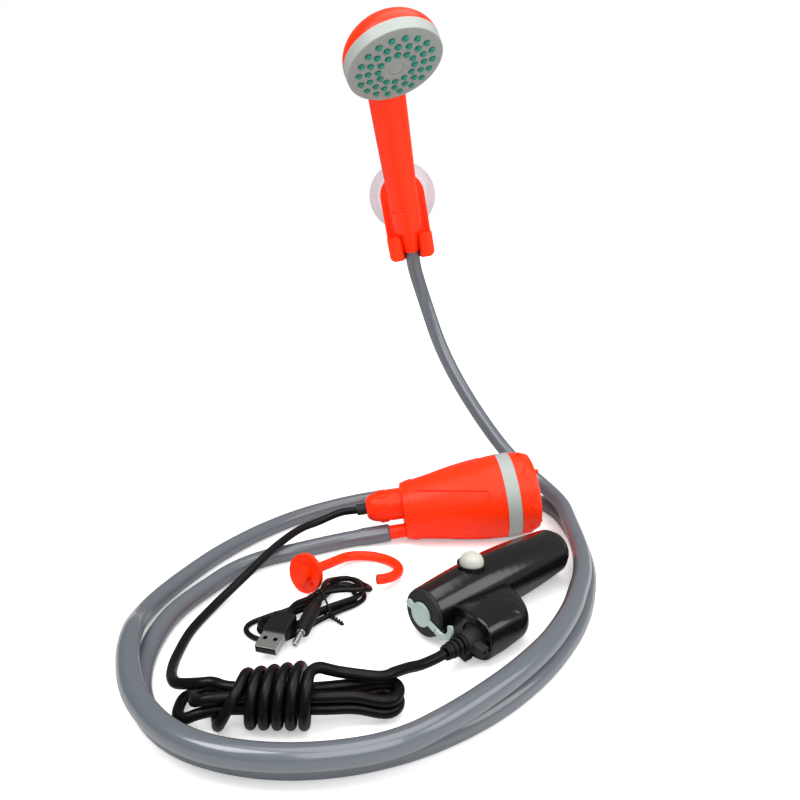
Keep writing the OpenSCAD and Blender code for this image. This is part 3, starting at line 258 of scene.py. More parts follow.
HOSE_RISER = [[18.2, -17, 155], [31.2, -22, 119], [46.7, -33, 89], [67, -49, 59], [86, -65, 37]]
HOSE_LOOPS = [
    [107, -86.5, 22], [116, -109, 18.8], [115.5, -144, 17.2], [113, -182.5, 16.8], [107.5, -211, 16.8],
    [99.5, -233.5, 17], [89.5, -256.5, 17.2], [73.5, -283, 17.2], [54.5, -306, 17.2], [34.5, -325.5, 17.2],
    [16, -341, 17.4], [-2.5, -353, 17.4], [-23.5, -359, 17.4], [-47, -361, 17.4], [-70, -358.5, 17.4],
    [-90, -352, 17.4], [-107, -338.5, 17.4], [-122.5, -319, 17.4], [-133.5, -295, 17.4], [-140, -272, 15.2],
    [-144.5, -249, 9], [-143, -225, 6], [-134.5, -198.5, 5.6], [-120.5, -167, 5.6], [-99.5, -134.5, 5.6],
    [-71.5, -105, 5.6], [-33.5, -80, 5.6], [10, -64, 5.6], [53, -58, 5.6], [89, -65.5, 5.6],
    [112.5, -85, 5.6], [119.5, -118.5, 5.6], [120, -155, 5.6], [116, -191, 5.6], [107, -223, 5.6],
    [96.5, -248.5, 5.6], [83, -271.5, 5.6], [67, -293, 5.6], [46.5, -314, 5.6], [24.5, -330.5, 5.6],
    [0.5, -343, 5.6], [-26, -350.5, 5.6], [-53, -352, 5.6], [-79, -347, 5.6], [-102, -336, 5.6],
    [-119.5, -316.5, 5.6], [-129, -292, 5.6], [-132, -264.5, 5.6], [-129, -238, 5.6], [-118, -211.5, 5.6],
    [-100, -181, 5.6], [-72, -165, 5.6], [-43, -150, 5.7]]
CABLE_OUT = [[-58, -144, 17.4], [-70, -156, 17], [-83, -177, 14.5], [-96, -202, 9], [-109, -228, 4],
             [-116, -252, 2.9], [-117, -274, 3], [-115, -289, 4.6], [-111, -300, 7.6], [-105.5, -307.5, 10.8]]
CABLE_TAIL = [[-11, -313.5, 19], [-4, -308.5, 17.8], [2, -302.5, 15.6], [8, -297, 13.2]]
HOSE_TOP = (14, 5, -4, -16)
HOSE_END = (-25, -11)
CUFF_L, CUFF_EASE, CUFF_SWELL = 24.0, 7.0, 0.11
LIP_L, LIP_DROP = 1.2, 0.07
LOOP_LAG = np.radians(11)
HANK_AT, HANK_BOW, HANK_WAIST = (-57.0, -321.0), 9.0, 3.15
HANK_LEFT_L, HANK_LEFT_W = 38.0, 20.0
HANK_RIGHT_L, HANK_RIGHT_W = 55.0, 24.0
HANK_NEST, HANK_SAG = 8.1, 5.0
WIND_FROM, WIND_GAP, WIND_GROWTH = -14.6, 0.8, 0.4
CABLE_START = (-15.5, -31.5, -43.5)
CABLE_END = (-28, -21)


def hose_route():
    """From inside the handset's nut, down to the floor, twice round and into the pump's outlet."""
    top = [seat_at(s) for s in HOSE_TOP]
    end = [pump_at(x, *OUTLET_AXIS) for x in HOSE_END]
    return np.vstack([top, on_floor(HOSE_RISER), on_floor(HOSE_LOOPS), end])


def hose_cuff(left):
    """Swelling of the hose where it is pushed over the outlet, by the distance left to its end."""
    swelling = CUFF_SWELL * smooth((CUFF_L - left) / CUFF_EASE)
    return 1 + swelling - LIP_DROP * smooth((LIP_L - left) / LIP_L)


def loop_angle(t):
    """Turn angle at loop t, quicker along the runs than round the ends."""
    return 2 * np.pi * t - LOOP_LAG * np.sin(4 * np.pi * t)


def as_one_shape(*terms):
    """Numbers and lists as arrays of one shape."""
    return np.broadcast_arrays(*(np.asarray(term, float) for term in terms))


def hank_pos(p, q, h):
    """Point in the cable's hank: p along it, q across it, bowed at its ends, h above the floor."""
    p, q, h = as_one_shape(p, q, h)
    bow = HANK_BOW * smooth((np.abs(p) - 20) / 40)
    return np.stack([HANK_AT[0] + p, HANK_AT[1] + q + bow, FLOOR + h], axis=-1)


def hank_route(d, turns):
    """The cable's hank: two long loops drawn in at the waist, then a winding of close turns round it."""
    level = d / 2 + 0.45
    wrap_r = HANK_WAIST + level + d - 0.9
    low = d / 2 + 0.15
    rise = wrap_r + low
    t = np.linspace(0.13, 2.05, 51)
    a = loop_angle(t)
    left = np.cos(a) > 0
    nest = HANK_NEST * smooth((t - 1.3) * 2.5)
    p = -np.cos(a) * np.where(left, HANK_LEFT_L + nest, HANK_RIGHT_L)
    wide = np.where(left, HANK_LEFT_W + 1.6 * nest, HANK_RIGHT_W) * np.abs(np.cos(a))**5
    sag = HANK_SAG * smooth((np.abs(p) - 28) / np.where(p > 0, 26, 18))
    drop = level * (1 - 2 * smooth((t - 0.88) / 0.24))
    loops = hank_pos(p, np.sin(a) * (HANK_WAIST + wide), rise + drop - sag)
    slant = hank_pos(
        [-41.4, -37.4, -33.4, -29.8, -27, -25.2, -22.6, -19.2, -16.2],
        [9.9, 11, 9, 3.6, -2.8, -wrap_r * 0.76, -wrap_r, -wrap_r, -wrap_r * 0.66],
        [low + 1.6, low + 0.5, low, low, low, low + 2.2, rise - 3, rise + 3.4, rise + wrap_r * 0.8])
    w = np.radians(np.arange(90, 91 + 360 * (turns - 1), 15))
    past = (w - np.pi / 2) / (2 * np.pi)
    pitch = d + WIND_GAP
    growth = WIND_GROWTH * past
    wind_r = wrap_r + growth
    wind = hank_pos(WIND_FROM + pitch * past, -wind_r * np.cos(w), rise + growth + wind_r * np.sin(w))
    last = WIND_FROM + pitch * (turns - 1)
    top = rise + wrap_r
    off = hank_pos([last + 3, last + 8, last + 14], [2.6, 4.4, 4.4],
                   [top + 2 * WIND_GROWTH * (turns - 1) - 0.3, top + 1, top - 1.2])
    return np.vstack([loops[:1] - [d, 0, 0.5], loops, slant, wind, off])


def cable_route(d, turns):
    """From the pump's gland along the floor, through the hank and into the pack's plug."""
    start = [pump_at(x, 0.0, GLAND_RISE) for x in CABLE_START]
    end = [pod_at(x) for x in CABLE_END]
    return np.vstack([start, on_floor(CABLE_OUT), hank_route(d, turns), on_floor(CABLE_TAIL), end])


LEAD_AT, LEAD_YAW = (-50.0, -233.0), np.radians(44.5)
LEAD_WAIST, LEAD_STEP = 2.3, 6.2
LEAD_LEFT_L, LEAD_LEFT_W = 30.0, 14.0
LEAD_RIGHT_L, LEAD_RIGHT_W = 29.0, 17.0
FLAT_PLUG_TIP = np.array([-70.6, -277.5, FLOOR + 7.6])
FLAT_PLUG_LINE = turned("z", 74) @ turned("y", -10) @ np.array([1.0, 0, 0])
FLAT_PLUG_L = 11.7 + 13


def lead_bow(p):
    """Sideways bow of the lead's hank at p along it."""
    return 6.5 * (p / 38)**2


def lead_pos(p, q, h):
    """Point in the lead's hank: p along it, q across it, bowed, h above the floor."""
    p, q, h = as_one_shape(p, q, h)
    v = q + lead_bow(p)
    c, s = np.cos(LEAD_YAW), np.sin(LEAD_YAW)
    return np.stack([LEAD_AT[0] + p * c - v * s, LEAD_AT[1] + p * s + v * c, FLOOR + h], axis=-1)


ROUND_PLUG_BACK = lead_pos(-1.6, -4.6, 12.8)
ROUND_PLUG_LINE = turned("z", -104) @ turned("y", 9) @ np.array([1.0, 0, 0])


def lead_route(d):
    """From the flat plug over the hank, round its loops and back over it to the round plug."""
    t = 0.03 + 3.1 * np.arange(75) / 74
    a = loop_angle(t)
    outward = LEAD_STEP * np.abs(t - 2)
    bend = np.cos(a)**2
    right = np.cos(a) > 0
    p = (np.where(right, LEAD_RIGHT_L, LEAD_LEFT_L) + outward) * np.cos(a)
    wide = outward * (0.84 + 0.16 * bend) + np.where(right, LEAD_RIGHT_W, LEAD_LEFT_W) * bend
    q = np.sin(a) * (LEAD_WAIST + wide)
    h = d / 2 + 0.2 + (d + 0.8) * smooth((t - 1.75) * 2) + 1.25 * np.sin(a)**4
    over = lead_pos([-18.5, -12, -5, 3, 10, 16, 22, 28, 34, 38.6, 40],
                    [-2.4, 1.6, 2.8, 2.8, 1.2, -2.2, -7.8, -13, -13.8, -8.6, -2],
                    [12, 11.8, 11, 10.5, 10.3, 10.1, 9.9, 9.2, 6.4, 3.6, 2.2])
    back = lead_pos([22.5, 16, 9], [12, 8.4, 3.4], [8, 11.6, 14])
    flat_plug = [FLAT_PLUG_TIP + (FLAT_PLUG_L + x) * FLAT_PLUG_LINE for x in (0, d)]
    round_plug = [ROUND_PLUG_BACK - d * ROUND_PLUG_LINE, ROUND_PLUG_BACK]
    return np.vstack([flat_plug, over, lead_pos(p, q, h), back, round_plug])


# Surfaces of the solid pieces, in millimetres

TURNED_SIDES = 56
NOZZLE_SIDES = 18
NOZZLE_RINGS = [(12, 12.0), (16, 18.4), (18, 24.2)]
NOZZLE_PROFILE = [(1.95, -0.8), (1.95, 0.35), (1.87, 0.8), (1.64, 1.18), (1.3, 1.4), (0.95, 1.48),
                  (0.66, 1.44), (0.54, 1.36), (0.48, 1.26), (0.2, 1.24)]
FACE_R, FACE_CROWN = 29.3, 1.6
NECK_AT = SEAT_AT + HANDSET @ np.array([0.0, -3.5, 138.4])
NECK = HANDSET @ turned("x", 67.7)
NECK_R, NECK_FLARE, NECK_L = 13.36, 0.3, 15.0
BUTTON_X, BUTTON_R = 37.0, 6.9
BUTTON_FOOT, BUTTON_SHOULDER, BUTTON_RISE = 15.4, 17.2, 5.9
BUTTON_RING_R, BUTTON_RING_W, BUTTON_RING_H = 3.3, 0.42, 0.2
POD_SIDES, POD_R, SOCKET_R = 72, 12.15, 10.9
POD_INNER = -4.0
POD_LEVEL, POD_FALL, POD_END = 35.0, 46.9, 60.0
PUMP_L, PUMP_D1, PUMP_D2 = 69.5, 40.2, 58.6
BEAD_SIDES, BEAD_POINT, BEAD_SINK = 8, 0.02, 0.05
TONGUE_TURNS = (62, 152, 242, 332)
TONGUE_ROOT, TONGUE_SHOULDER = (11.5, 10.9), (56.5, 2.95)
TONGUE_TIP_X, TONGUE_TIP_R = 56.0, 3.0
CAP_X = 79.0
CAP_SIDE = [(CAP_X, 29.1), (86.975, 28.3), (90.5, 27.1)]
CAP_BAYS, BAY_AT, BAY_DEPTH = 9, 7.6, 2.8
GLAND_RIBS, GLAND_R, GLAND_BACK, GLAND_FRONT = 12, 10.5, -16.5, -9.5
TIE_AT, TIE_D, TIE_STEPS = 3.2, 1.2, 85
TIE_TWIST_R = 0.8


def nozzle_tips():
    """Rounded nozzle tips with an outlet dimple: one turned profile set on every place of three rings, at
    the height of the domed face there. Returns one grid for each nozzle."""
    count = np.array([n for n, _ in NOZZLE_RINGS])
    ring = np.repeat([r for _, r in NOZZLE_RINGS], count)
    turn = np.concatenate([2 * np.pi * np.arange(n) / n for n in count])
    at = np.stack([ring * np.cos(turn), ring * np.sin(turn), FACE_CROWN * (1 - (ring / FACE_R)**2)], axis=-1)
    tips = at[:, None, None, :] + lathe(NOZZLE_PROFILE, NOZZLE_SIDES)[None]
    return HEAD_AT + tips @ HEAD.T


def handset_neck():
    """Rounded shoulder between handle and head: half a ball on the handle's end, carried on as a round bar
    that widens a little and ends in the head."""
    a = np.linspace(-0.98, 0, 20) * np.pi / 2
    ball = np.stack([NECK_R * np.cos(a), NECK_R * np.sin(a)], axis=1)
    bar = np.linspace([NECK_R + 0.01, 1.5], [NECK_R + NECK_FLARE, NECK_L], 8)
    return NECK_AT + lathe(np.vstack([ball, bar]), TURNED_SIDES) @ NECK.T


def button_dome():
    """Domed button: a short skirt, then a quarter of a superellipse with a raised ring round its middle."""
    a = np.linspace(0, np.pi / 2 * 0.985, 34)
    r = BUTTON_R * np.cos(a)**0.86
    ring = BUTTON_RING_H * np.exp(-((r - BUTTON_RING_R) / BUTTON_RING_W)**4)
    z = BUTTON_SHOULDER + BUTTON_RISE * np.sin(a)**0.94 + ring
    profile = np.vstack([[[BUTTON_R, BUTTON_FOOT]], np.stack([r, z], axis=1)])
    return PACK_AT + (lathe(profile, TURNED_SIDES) + [BUTTON_X, 0, 0]) @ PACK.T


def pod_saddle():
    """Socket pod: superellipses along the pack, rounder towards the rear. Their outer reach is level, then
    falls on a quarter ellipse and runs into the barrel on a fading curve. The flat front has a rounded edge
    and leaves the socket's circle open."""
    a = round_angles(POD_SIDES)
    c, s = np.cos(a), np.sin(a)
    edge = POD_FACE + np.array([-0.05, 0.0, 0.2, 0.6, 1.2])
    fall = POD_LEVEL + (POD_FALL - POD_LEVEL) * np.sin(np.linspace(0.1, 1, 14) * np.pi / 2)
    x = np.r_[edge, np.linspace(12, POD_LEVEL, 12), fall, np.linspace(47.4, POD_END, 18)]
    inset = np.interp(x, [*edge, POD_END], [0.9, 0.55, 0.25, 0.08, 0, 0])
    bulge = POD_AXIS[0] - POD_R * np.sqrt(1 - np.clip((x - POD_LEVEL) / 12.3, 0, 0.967)**2)
    fading = -13 - 18.1 * np.exp(-(x - POD_FALL) * 0.21)
    outer = np.where(x < POD_FALL, bulge, fading) + inset
    inner = POD_INNER - inset
    half = POD_R - 1.8 * smooth((x - 38) / 20) - inset
    power = (2 / (3 - 0.7 * smooth((x - 20) / 18)))[:, None]
    y = ((inner + outer) / 2)[:, None] + ((inner - outer) / 2)[:, None] * np.sign(c) * np.abs(c)**power
    z = POD_AXIS[1] + half[:, None] * np.sign(s) * np.abs(s)**power
    body = np.stack([np.broadcast_to(x[:, None], y.shape), y, z], axis=-1)
    mouth = np.stack([np.full(POD_SIDES, edge[0]), POD_AXIS[0] + SOCKET_R * c, POD_AXIS[1] + SOCKET_R * s],
                     axis=-1)
    return PACK_AT + np.vstack([mouth[None], body]) @ PACK.T


def pump_radius(x):
    """Radius of the pump's body at x: half a straight taper, half a sine."""
    u = x / PUMP_L
    return (PUMP_D1 + (PUMP_D2 - PUMP_D1) * (u + np.sin(np.pi / 2 * u)) / 2) / 2


def bead(points, step, radius, fade):
    """Thin tube along the points, whose radius fades at both ends."""
    path, run = even_curve(points, step)
    r = radius * smooth(np.minimum(run, run[-1] - run) / fade) + BEAD_POINT
    return rings_along(path, r, BEAD_SIDES)


def round_pump(tube, degrees, rise=0.0):
    """Copies of a tube turned about the pump's axis, or about a line that lies so far above it."""
    turns = np.stack([turned("x", d) for d in degrees])
    return pump_at(0, 0, rise) + np.einsum("abk,mnk->amnb", PUMP @ turns, tube)


def tongue_beads():
    """Fine beads round the four tongues: each tongue's outline, two slants and a round end, is lifted onto
    the body's surface."""
    a = np.radians(np.linspace(80, -80, 15))[1:-1]
    slant = np.linspace(TONGUE_ROOT, TONGUE_SHOULDER, 24)
    tip = np.stack([TONGUE_TIP_X + TONGUE_TIP_R * np.cos(a), TONGUE_TIP_R * np.sin(a)], axis=1)
    flat = np.vstack([slant, tip, slant[::-1] * [1, -1]])
    up = np.sqrt((pump_radius(flat[:, 0]) - BEAD_SINK)**2 - flat[:, 1]**2)
    return round_pump(bead(np.column_stack([flat, up]), step=1.0, radius=0.42, fade=9), TONGUE_TURNS)


def cap_beads():
    """Fine beads along the bays in the strainer cap's side: one wave of a cosine each, laid on the side."""
    a = np.radians(np.linspace(-18, 18, 37))
    x = CAP_X + BAY_AT - BAY_DEPTH * np.cos(CAP_BAYS * a)
    r = np.interp(x, *np.array(CAP_SIDE).T) - BEAD_SINK
    wave = np.column_stack([x, -r * np.sin(a), r * np.cos(a)])
    degrees = np.arange(CAP_BAYS) * 360 / CAP_BAYS
    return round_pump(bead(wave, step=0.8, radius=0.38, fade=5), degrees)


def gland_ribs():
    """Rounded ribs on the gland nut: one bead, half sunk, along each of its bars."""
    line = np.linspace([GLAND_BACK, 0, GLAND_R], [GLAND_FRONT, 0, GLAND_R], 8)
    degrees = np.arange(GLAND_RIBS) * 360 / GLAND_RIBS
    return round_pump(bead(line, step=0.5, radius=0.95, fade=1.3), degrees, GLAND_RISE)


def tie_route(lead_path, lead_d):
    """Wire tie round the lead's waist: the rounded hull of the strands where they cross its plane, found as
    the furthest strand in each direction, and two ends twisted about each other."""
    x, y = lead_path[:, 0] - LEAD_AT[0], lead_path[:, 1] - LEAD_AT[1]
    c, s = np.cos(LEAD_YAW), np.sin(LEAD_YAW)
    p, v = x * c + y * s, y * c - x * s
    cut = np.nonzero((p[1:] - TIE_AT) * (p[:-1] - TIE_AT) < 0)[0]
    strands = np.stack([v[cut] - lead_bow(p[cut]), lead_path[cut, 2] - FLOOR], axis=1)
    a = np.radians(212 - 336 * np.arange(TIE_STEPS) / (TIE_STEPS - 1))
    way = np.stack([np.cos(a), np.sin(a)], axis=1)
    hull = strands[(way @ strands.T).argmax(axis=1)] + (lead_d / 2 + TIE_D / 2 + 0.12) * way
    ring = lead_pos(TIE_AT - 0.85 + 0.02 * np.arange(TIE_STEPS), hull[:, 0], hull[:, 1])
    front = hull[:, 0].min() - 0.2
    k = np.arange(13)

    def twisted_end(turn):
        """One end of the wire, outward from the ring."""
        w = np.radians(turn + 60 * k)
        along = TIE_AT - 0.2 + TIE_TWIST_R * np.cos(w)
        return lead_pos(along, front - 0.75 * k, 2.6 + TIE_TWIST_R * np.sin(w))

    return np.vstack([twisted_end(150)[::-1], ring[2:-2:3], twisted_end(330)])


# Shared effects as node groups

NUMBER, COLOR = "NodeSocketFloat", "NodeSocketColor"
SKIN_OUTPUTS = [("Color", COLOR), ("Roughness", NUMBER), ("Height", NUMBER)]
GRAIN_SCALE, GRAIN_DEPTH = 2200.0, 0.00004
DRIFT_SCALE, GRIT_SCALE, PATCH_SCALE = 55.0, 1400.0, 40.0
STREAK_STRETCH = (9.0, 26.0, 1.0)
HAIR_STRETCH, HAIR_TURN, HAIR_SHARPNESS = (0.35, 6.0, 2.4), (0.4, 0.7, 0.3), 18.0
MARKS = 0.03
# A Mix node's colour sockets share their names with its number sockets, so they are found by place
MIX_A, MIX_B, MIX_RESULT = 6, 7, 2


def new_group(name, inputs, outputs):
    """Shader node group with its named sockets. Returns the group and its input and output nodes."""
    group = bpy.data.node_groups.new(name, "ShaderNodeTree")
    for label, kind, value in inputs:
        socket = group.interface.new_socket(label, in_out="INPUT", socket_type=kind)
        socket.default_value = value
    for label, kind in outputs:
        group.interface.new_socket(label, in_out="OUTPUT", socket_type=kind)
    return group, group.nodes.new("NodeGroupInput"), group.nodes.new("NodeGroupOutput")


def feed(tree, value, socket):
    """Links a socket to another one, or gives it a plain value."""
    if isinstance(value, bpy.types.NodeSocket):
        tree.links.new(value, socket)
    else:
        socket.default_value = value


def set_values(node, settings):
    """Gives inputs of a node plain values by name."""
    for key, value in settings.items():
        node.inputs[key].default_value = value


def place_on(tree):
    """Place on the object's own axes."""
    return tree.nodes.new("ShaderNodeTexCoord").outputs["Object"]


def mapped(tree, vector, scale, rotation=(0, 0, 0)):
    """A vector turned and scaled."""
    node = tree.nodes.new("ShaderNodeMapping")
    set_values(node, {"Rotation": rotation, "Scale": scale})
    feed(tree, vector, node.inputs["Vector"])
    return node.outputs["Vector"]


def noise(tree, vector, scale, detail, rough=0.5):
    """Noise texture on a vector; scale is a number or a socket."""
    node = tree.nodes.new("ShaderNodeTexNoise")
    set_values(node, {"Detail": detail, "Roughness": rough})
    feed(tree, vector, node.inputs["Vector"])
    feed(tree, scale, node.inputs["Scale"])
    return node.outputs["Fac"]


def sums(tree, operation, *terms):
    """Math node on sockets or numbers."""
    node = tree.nodes.new("ShaderNodeMath")
    node.operation = operation
    for term, socket in zip(terms, node.inputs):
        feed(tree, term, socket)
    return node.outputs[0]


def swung(tree, value, amount, middle):
    """A value from 0 to 1, made to swing by an amount about a middle."""
    return sums(tree, "MULTIPLY_ADD", sums(tree, "SUBTRACT", value, 0.5), amount, middle)


def blended(tree, first, share, second, rest):
    """Two values added, each times its share."""
    return sums(tree, "ADD", sums(tree, "MULTIPLY", first, share), sums(tree, "MULTIPLY", second, rest))


def measured(tree, operation, vector, other=(0, 0, 0)):
    """Number from a vector: its length, or its product with another one."""
    node = tree.nodes.new("ShaderNodeVectorMath")
    node.operation = operation
    feed(tree, vector, node.inputs[0])
    node.inputs[1].default_value = other
    return node.outputs["Value"]


def ramp(tree, value, start, end, low=0.0, high=1.0, kind="SMOOTHSTEP"):
    """Goes from low to high as a value goes from start to end."""
    node = tree.nodes.new("ShaderNodeMapRange")
    node.interpolation_type = kind
    set_values(node, {"From Min": start, "From Max": end, "To Min": low, "To Max": high})
    feed(tree, value, node.inputs["Value"])
    return node.outputs["Result"]


def color_mix(tree, factor, first, second):
    """Goes from the first colour to the second as a factor goes from 0 to 1."""
    node = tree.nodes.new("ShaderNodeMix")
    node.data_type = "RGBA"
    feed(tree, factor, node.inputs[0])
    feed(tree, first, node.inputs[MIX_A])
    feed(tree, second, node.inputs[MIX_B])
    return node.outputs[MIX_RESULT]


def toned(tree, color, level):
    """A colour made lighter or darker by a level about 1."""
    node = tree.nodes.new("ShaderNodeHueSaturation")
    feed(tree, color, node.inputs["Color"])
    feed(tree, level, node.inputs["Value"])
    return node.outputs["Color"]


def moulded_skin():
    """Moulded plastic: slow drift of colour, fine grain in height, and gloss that varies with both."""
    group, inp, out = new_group(
        "Moulded Skin",
        [("Color", COLOR, (0.8, 0.8, 0.8, 1)), ("Drift", NUMBER, 0.06), ("Roughness", NUMBER, 0.35),
         ("Spread", NUMBER, 0.08), ("Grain Scale", NUMBER, GRAIN_SCALE)],
        SKIN_OUTPUTS)
    at = place_on(group)
    slow = noise(group, at, DRIFT_SCALE, 2.0)
    fine = noise(group, at, inp.outputs["Grain Scale"], 2.0)
    level = swung(group, slow, inp.outputs["Drift"], 1.0)
    mixed = blended(group, slow, 0.6, fine, 0.4)
    gloss = swung(group, mixed, inp.outputs["Spread"], inp.outputs["Roughness"])
    feed(group, toned(group, inp.outputs["Color"], level), out.inputs["Color"])
    feed(group, gloss, out.inputs["Roughness"])
    feed(group, fine, out.inputs["Height"])
    return group


def hand_marks():
    """Hair scratches and smudges from handling: thin bands of stretched noise over soft patches."""
    group, inp, out = new_group(
        "Hand Marks",
        [("Scale", NUMBER, 120.0), ("Amount", NUMBER, MARKS)],
        [("Gloss Shift", NUMBER)])
    at = place_on(group)
    stretched = mapped(group, at, HAIR_STRETCH, HAIR_TURN)
    hair = noise(group, stretched, inp.outputs["Scale"], 4.0, 0.6)
    off_middle = sums(group, "ABSOLUTE", sums(group, "SUBTRACT", hair, 0.5))
    ridge = sums(group, "SUBTRACT", 1.0, sums(group, "MULTIPLY", off_middle, HAIR_SHARPNESS))
    ridge = sums(group, "MAXIMUM", ridge, 0.0)
    patch = noise(group, at, PATCH_SCALE, 1.0)
    shift = sums(group, "MULTIPLY", sums(group, "ADD", ridge, patch), inp.outputs["Amount"])
    feed(group, shift, out.inputs["Gloss Shift"])
    return group


def drawn_sleeve():
    """Drawn plastic or rubber on a cord: streaks along its length, from the cord's UV map, and fine grit."""
    group, inp, out = new_group(
        "Drawn Sleeve",
        [("Color", COLOR, (0.5, 0.5, 0.5, 1)), ("Drift", NUMBER, 0.06), ("Roughness", NUMBER, 0.3),
         ("Spread", NUMBER, 0.1)],
        SKIN_OUTPUTS)
    uv = group.nodes.new("ShaderNodeUVMap")
    uv.uv_map = "Along"
    streak = noise(group, mapped(group, uv.outputs["UV"], STREAK_STRETCH), 1.0, 4.0)
    grit = noise(group, place_on(group), GRIT_SCALE, 2.0)
    level = swung(group, streak, inp.outputs["Drift"], 1.0)
    gloss = swung(group, grit, inp.outputs["Spread"], inp.outputs["Roughness"])
    feed(group, toned(group, inp.outputs["Color"], level), out.inputs["Color"])
    feed(group, gloss, out.inputs["Roughness"])
    feed(group, blended(group, streak, 0.5, grit, 0.5), out.inputs["Height"])
    return group


# Materials

def new_material(name):
    """New material. Returns it with its node tree and its shader."""
    material = bpy.data.materials.new(name)
    material.use_nodes = True
    tree = material.node_tree
    return material, tree, tree.nodes["Principled BSDF"]


def place_effect(tree, label, make, settings):
    """Node for a shared group, which is built at its first use, with its settings."""
    node = tree.nodes.new("ShaderNodeGroup")
    node.node_tree = bpy.data.node_groups.get(label) or make()
    set_values(node, settings)
    return node


def finish_bump(tree, shader, height, depth, strength):
    """Bumps a shader's surface by a height."""
    bump = tree.nodes.new("ShaderNodeBump")
    set_values(bump, {"Distance": depth, "Strength": strength})
    feed(tree, height, bump.inputs["Height"])
    feed(tree, bump.outputs["Normal"], shader.inputs["Normal"])


def moulded(name, color, rough=0.35, spread=0.1, drift=0.06, strength=0.25, specular=0.5, metallic=0.0):
    """Moulded plastic, rubber or plain metal from the shared skin and hand marks."""
    material, tree, shader = new_material(name)
    skin = place_effect(tree, "Moulded Skin", moulded_skin, {
        "Color": (*color, 1), "Drift": drift, "Roughness": rough, "Spread": spread})
    worn = place_effect(tree, "Hand Marks", hand_marks, {"Amount": MARKS})
    gloss = sums(tree, "ADD", skin.outputs["Roughness"], worn.outputs["Gloss Shift"])
    feed(tree, skin.outputs["Color"], shader.inputs["Base Color"])
    feed(tree, gloss, shader.inputs["Roughness"])
    finish_bump(tree, shader, skin.outputs["Height"], GRAIN_DEPTH, strength)
    set_values(shader, {"Specular IOR Level": specular, "Metallic": metallic})
    return material


def drawn(name, color, rough, spread, drift, depth, strength, coat=0.0, specular=0.5):
    """Sleeve of a cord from the shared drawn effect."""
    material, tree, shader = new_material(name)
    skin = place_effect(tree, "Drawn Sleeve", drawn_sleeve, {
        "Color": (*color, 1), "Drift": drift, "Roughness": rough, "Spread": spread})
    feed(tree, skin.outputs["Color"], shader.inputs["Base Color"])
    feed(tree, skin.outputs["Roughness"], shader.inputs["Roughness"])
    finish_bump(tree, shader, skin.outputs["Height"], depth, strength)
    set_values(shader, {"Specular IOR Level": specular, "Coat Weight": coat, "Coat Roughness": 0.1})
    return material


def paint(material, *names):
    """Gives CAD nodes or pieces a material."""
    for name in names:
        data = NODES[name].data if name in NODES else bpy.data.objects[name].data
        data.materials.clear()
        data.materials.append(material)


# Values that a user would change

class CordSizes(bpy.types.PropertyGroup):
    """Diameters and turns of the cords"""
    hose_d: bpy.props.FloatProperty(
        name="Hose", description="Outer diameter of the hose", unit="LENGTH",
        default=0.011, min=0.008, max=0.014)
    cable_d: bpy.props.FloatProperty(
        name="Cable", description="Outer diameter of the pump's cable", unit="LENGTH",
        default=0.0052, min=0.004, max=0.007)
    lead_d: bpy.props.FloatProperty(
        name="Lead", description="Outer diameter of the charging lead", unit="LENGTH",
        default=0.003, min=0.002, max=0.004)
    wrap_turns: bpy.props.IntProperty(
        name="Turns", description="Turns wound round the cable's hank", default=6, min=3, max=9)


def color_value(name, description, color):
    return bpy.props.FloatVectorProperty(name=name, description=description, default=color,
                                         subtype="COLOR", min=0, max=1)


# Colours of the finishes, and one painted shade for the front of the spray face
class FinishesAndShade(bpy.types.PropertyGroup):
    orange: color_value("Orange", "Handset, bracket, pump and hook", (1.0, 0.032, 0.002))
    pale: color_value("Pale grey", "Spray face and the pump's band", (0.36, 0.395, 0.37))
    # Painted shade: this darker grey on the spray plate's front and centre disc stands in for the shade on
    # the front, which faces down and away from the lights. It is the same plastic as the pale wall.
    face: color_value("Face painted shade", "Front of the spray plate", (0.235, 0.25, 0.23))
    teal: color_value("Teal", "Spray nozzles", (0.0, 0.20, 0.14))
    hose: color_value("Hose grey", "Hose", (0.105, 0.12, 0.138))
    black: color_value("Black", "Pack, plugs and cables", (0.0025, 0.0025, 0.003))
    button: color_value("Button", "Power button", (0.50, 0.50, 0.44))
    cover: color_value("Cover", "Cover of the charging jack", (0.40, 0.50, 0.48))


class StageValues(bpy.types.PropertyGroup):
    """Camera and light"""
    camera_at: bpy.props.FloatVectorProperty(
        name="Camera", description="Place of the camera", default=(-0.0018, -0.590, -0.013),
        subtype="TRANSLATION")
    dip: bpy.props.FloatProperty(
        name="Dip", description="Angle of the camera below the horizon", default=np.radians(15.0),
        subtype="ANGLE")
    lens: bpy.props.FloatProperty(
        name="Lens", description="Focal length on a 36 mm sensor", default=31.5, subtype="DISTANCE_CAMERA")
    fill: bpy.props.FloatProperty(
        name="Fill", description="Strength of the light from all round", default=0.45, min=0, max=2)
    fill_tilt: bpy.props.FloatProperty(
        name="Fill tilt", description="How much more of it comes from the right", default=0.2, min=0, max=1)
    mirrored: bpy.props.FloatProperty(
        name="Mirrored", description="Share of floor and fill that shows in glossy faces",
        default=0.55, min=0, max=1)
    floor_glow: bpy.props.FloatProperty(
        name="Floor glow", description="Lift of the white floor as the camera sees it",
        default=0.36, min=0, max=2)


class KitValues(bpy.types.PropertyGroup):
    cords: bpy.props.PointerProperty(type=CordSizes)
    finishes: bpy.props.PointerProperty(type=FinishesAndShade)
    stage: bpy.props.PointerProperty(type=StageValues)


def values():
    return bpy.context.scene.camp_shower


# Stage, in metres

SENSOR_W, NEAR = 36.0, 0.01
WHITE = (1, 1, 1, 1)
FLOOR_R, FLOOR_Y, FLOOR_SIDES, FLOOR_WHITE = 4.0, -0.2, 64, 0.93
GLOW_FROM, GLOW_TO = 0.45, 1.4
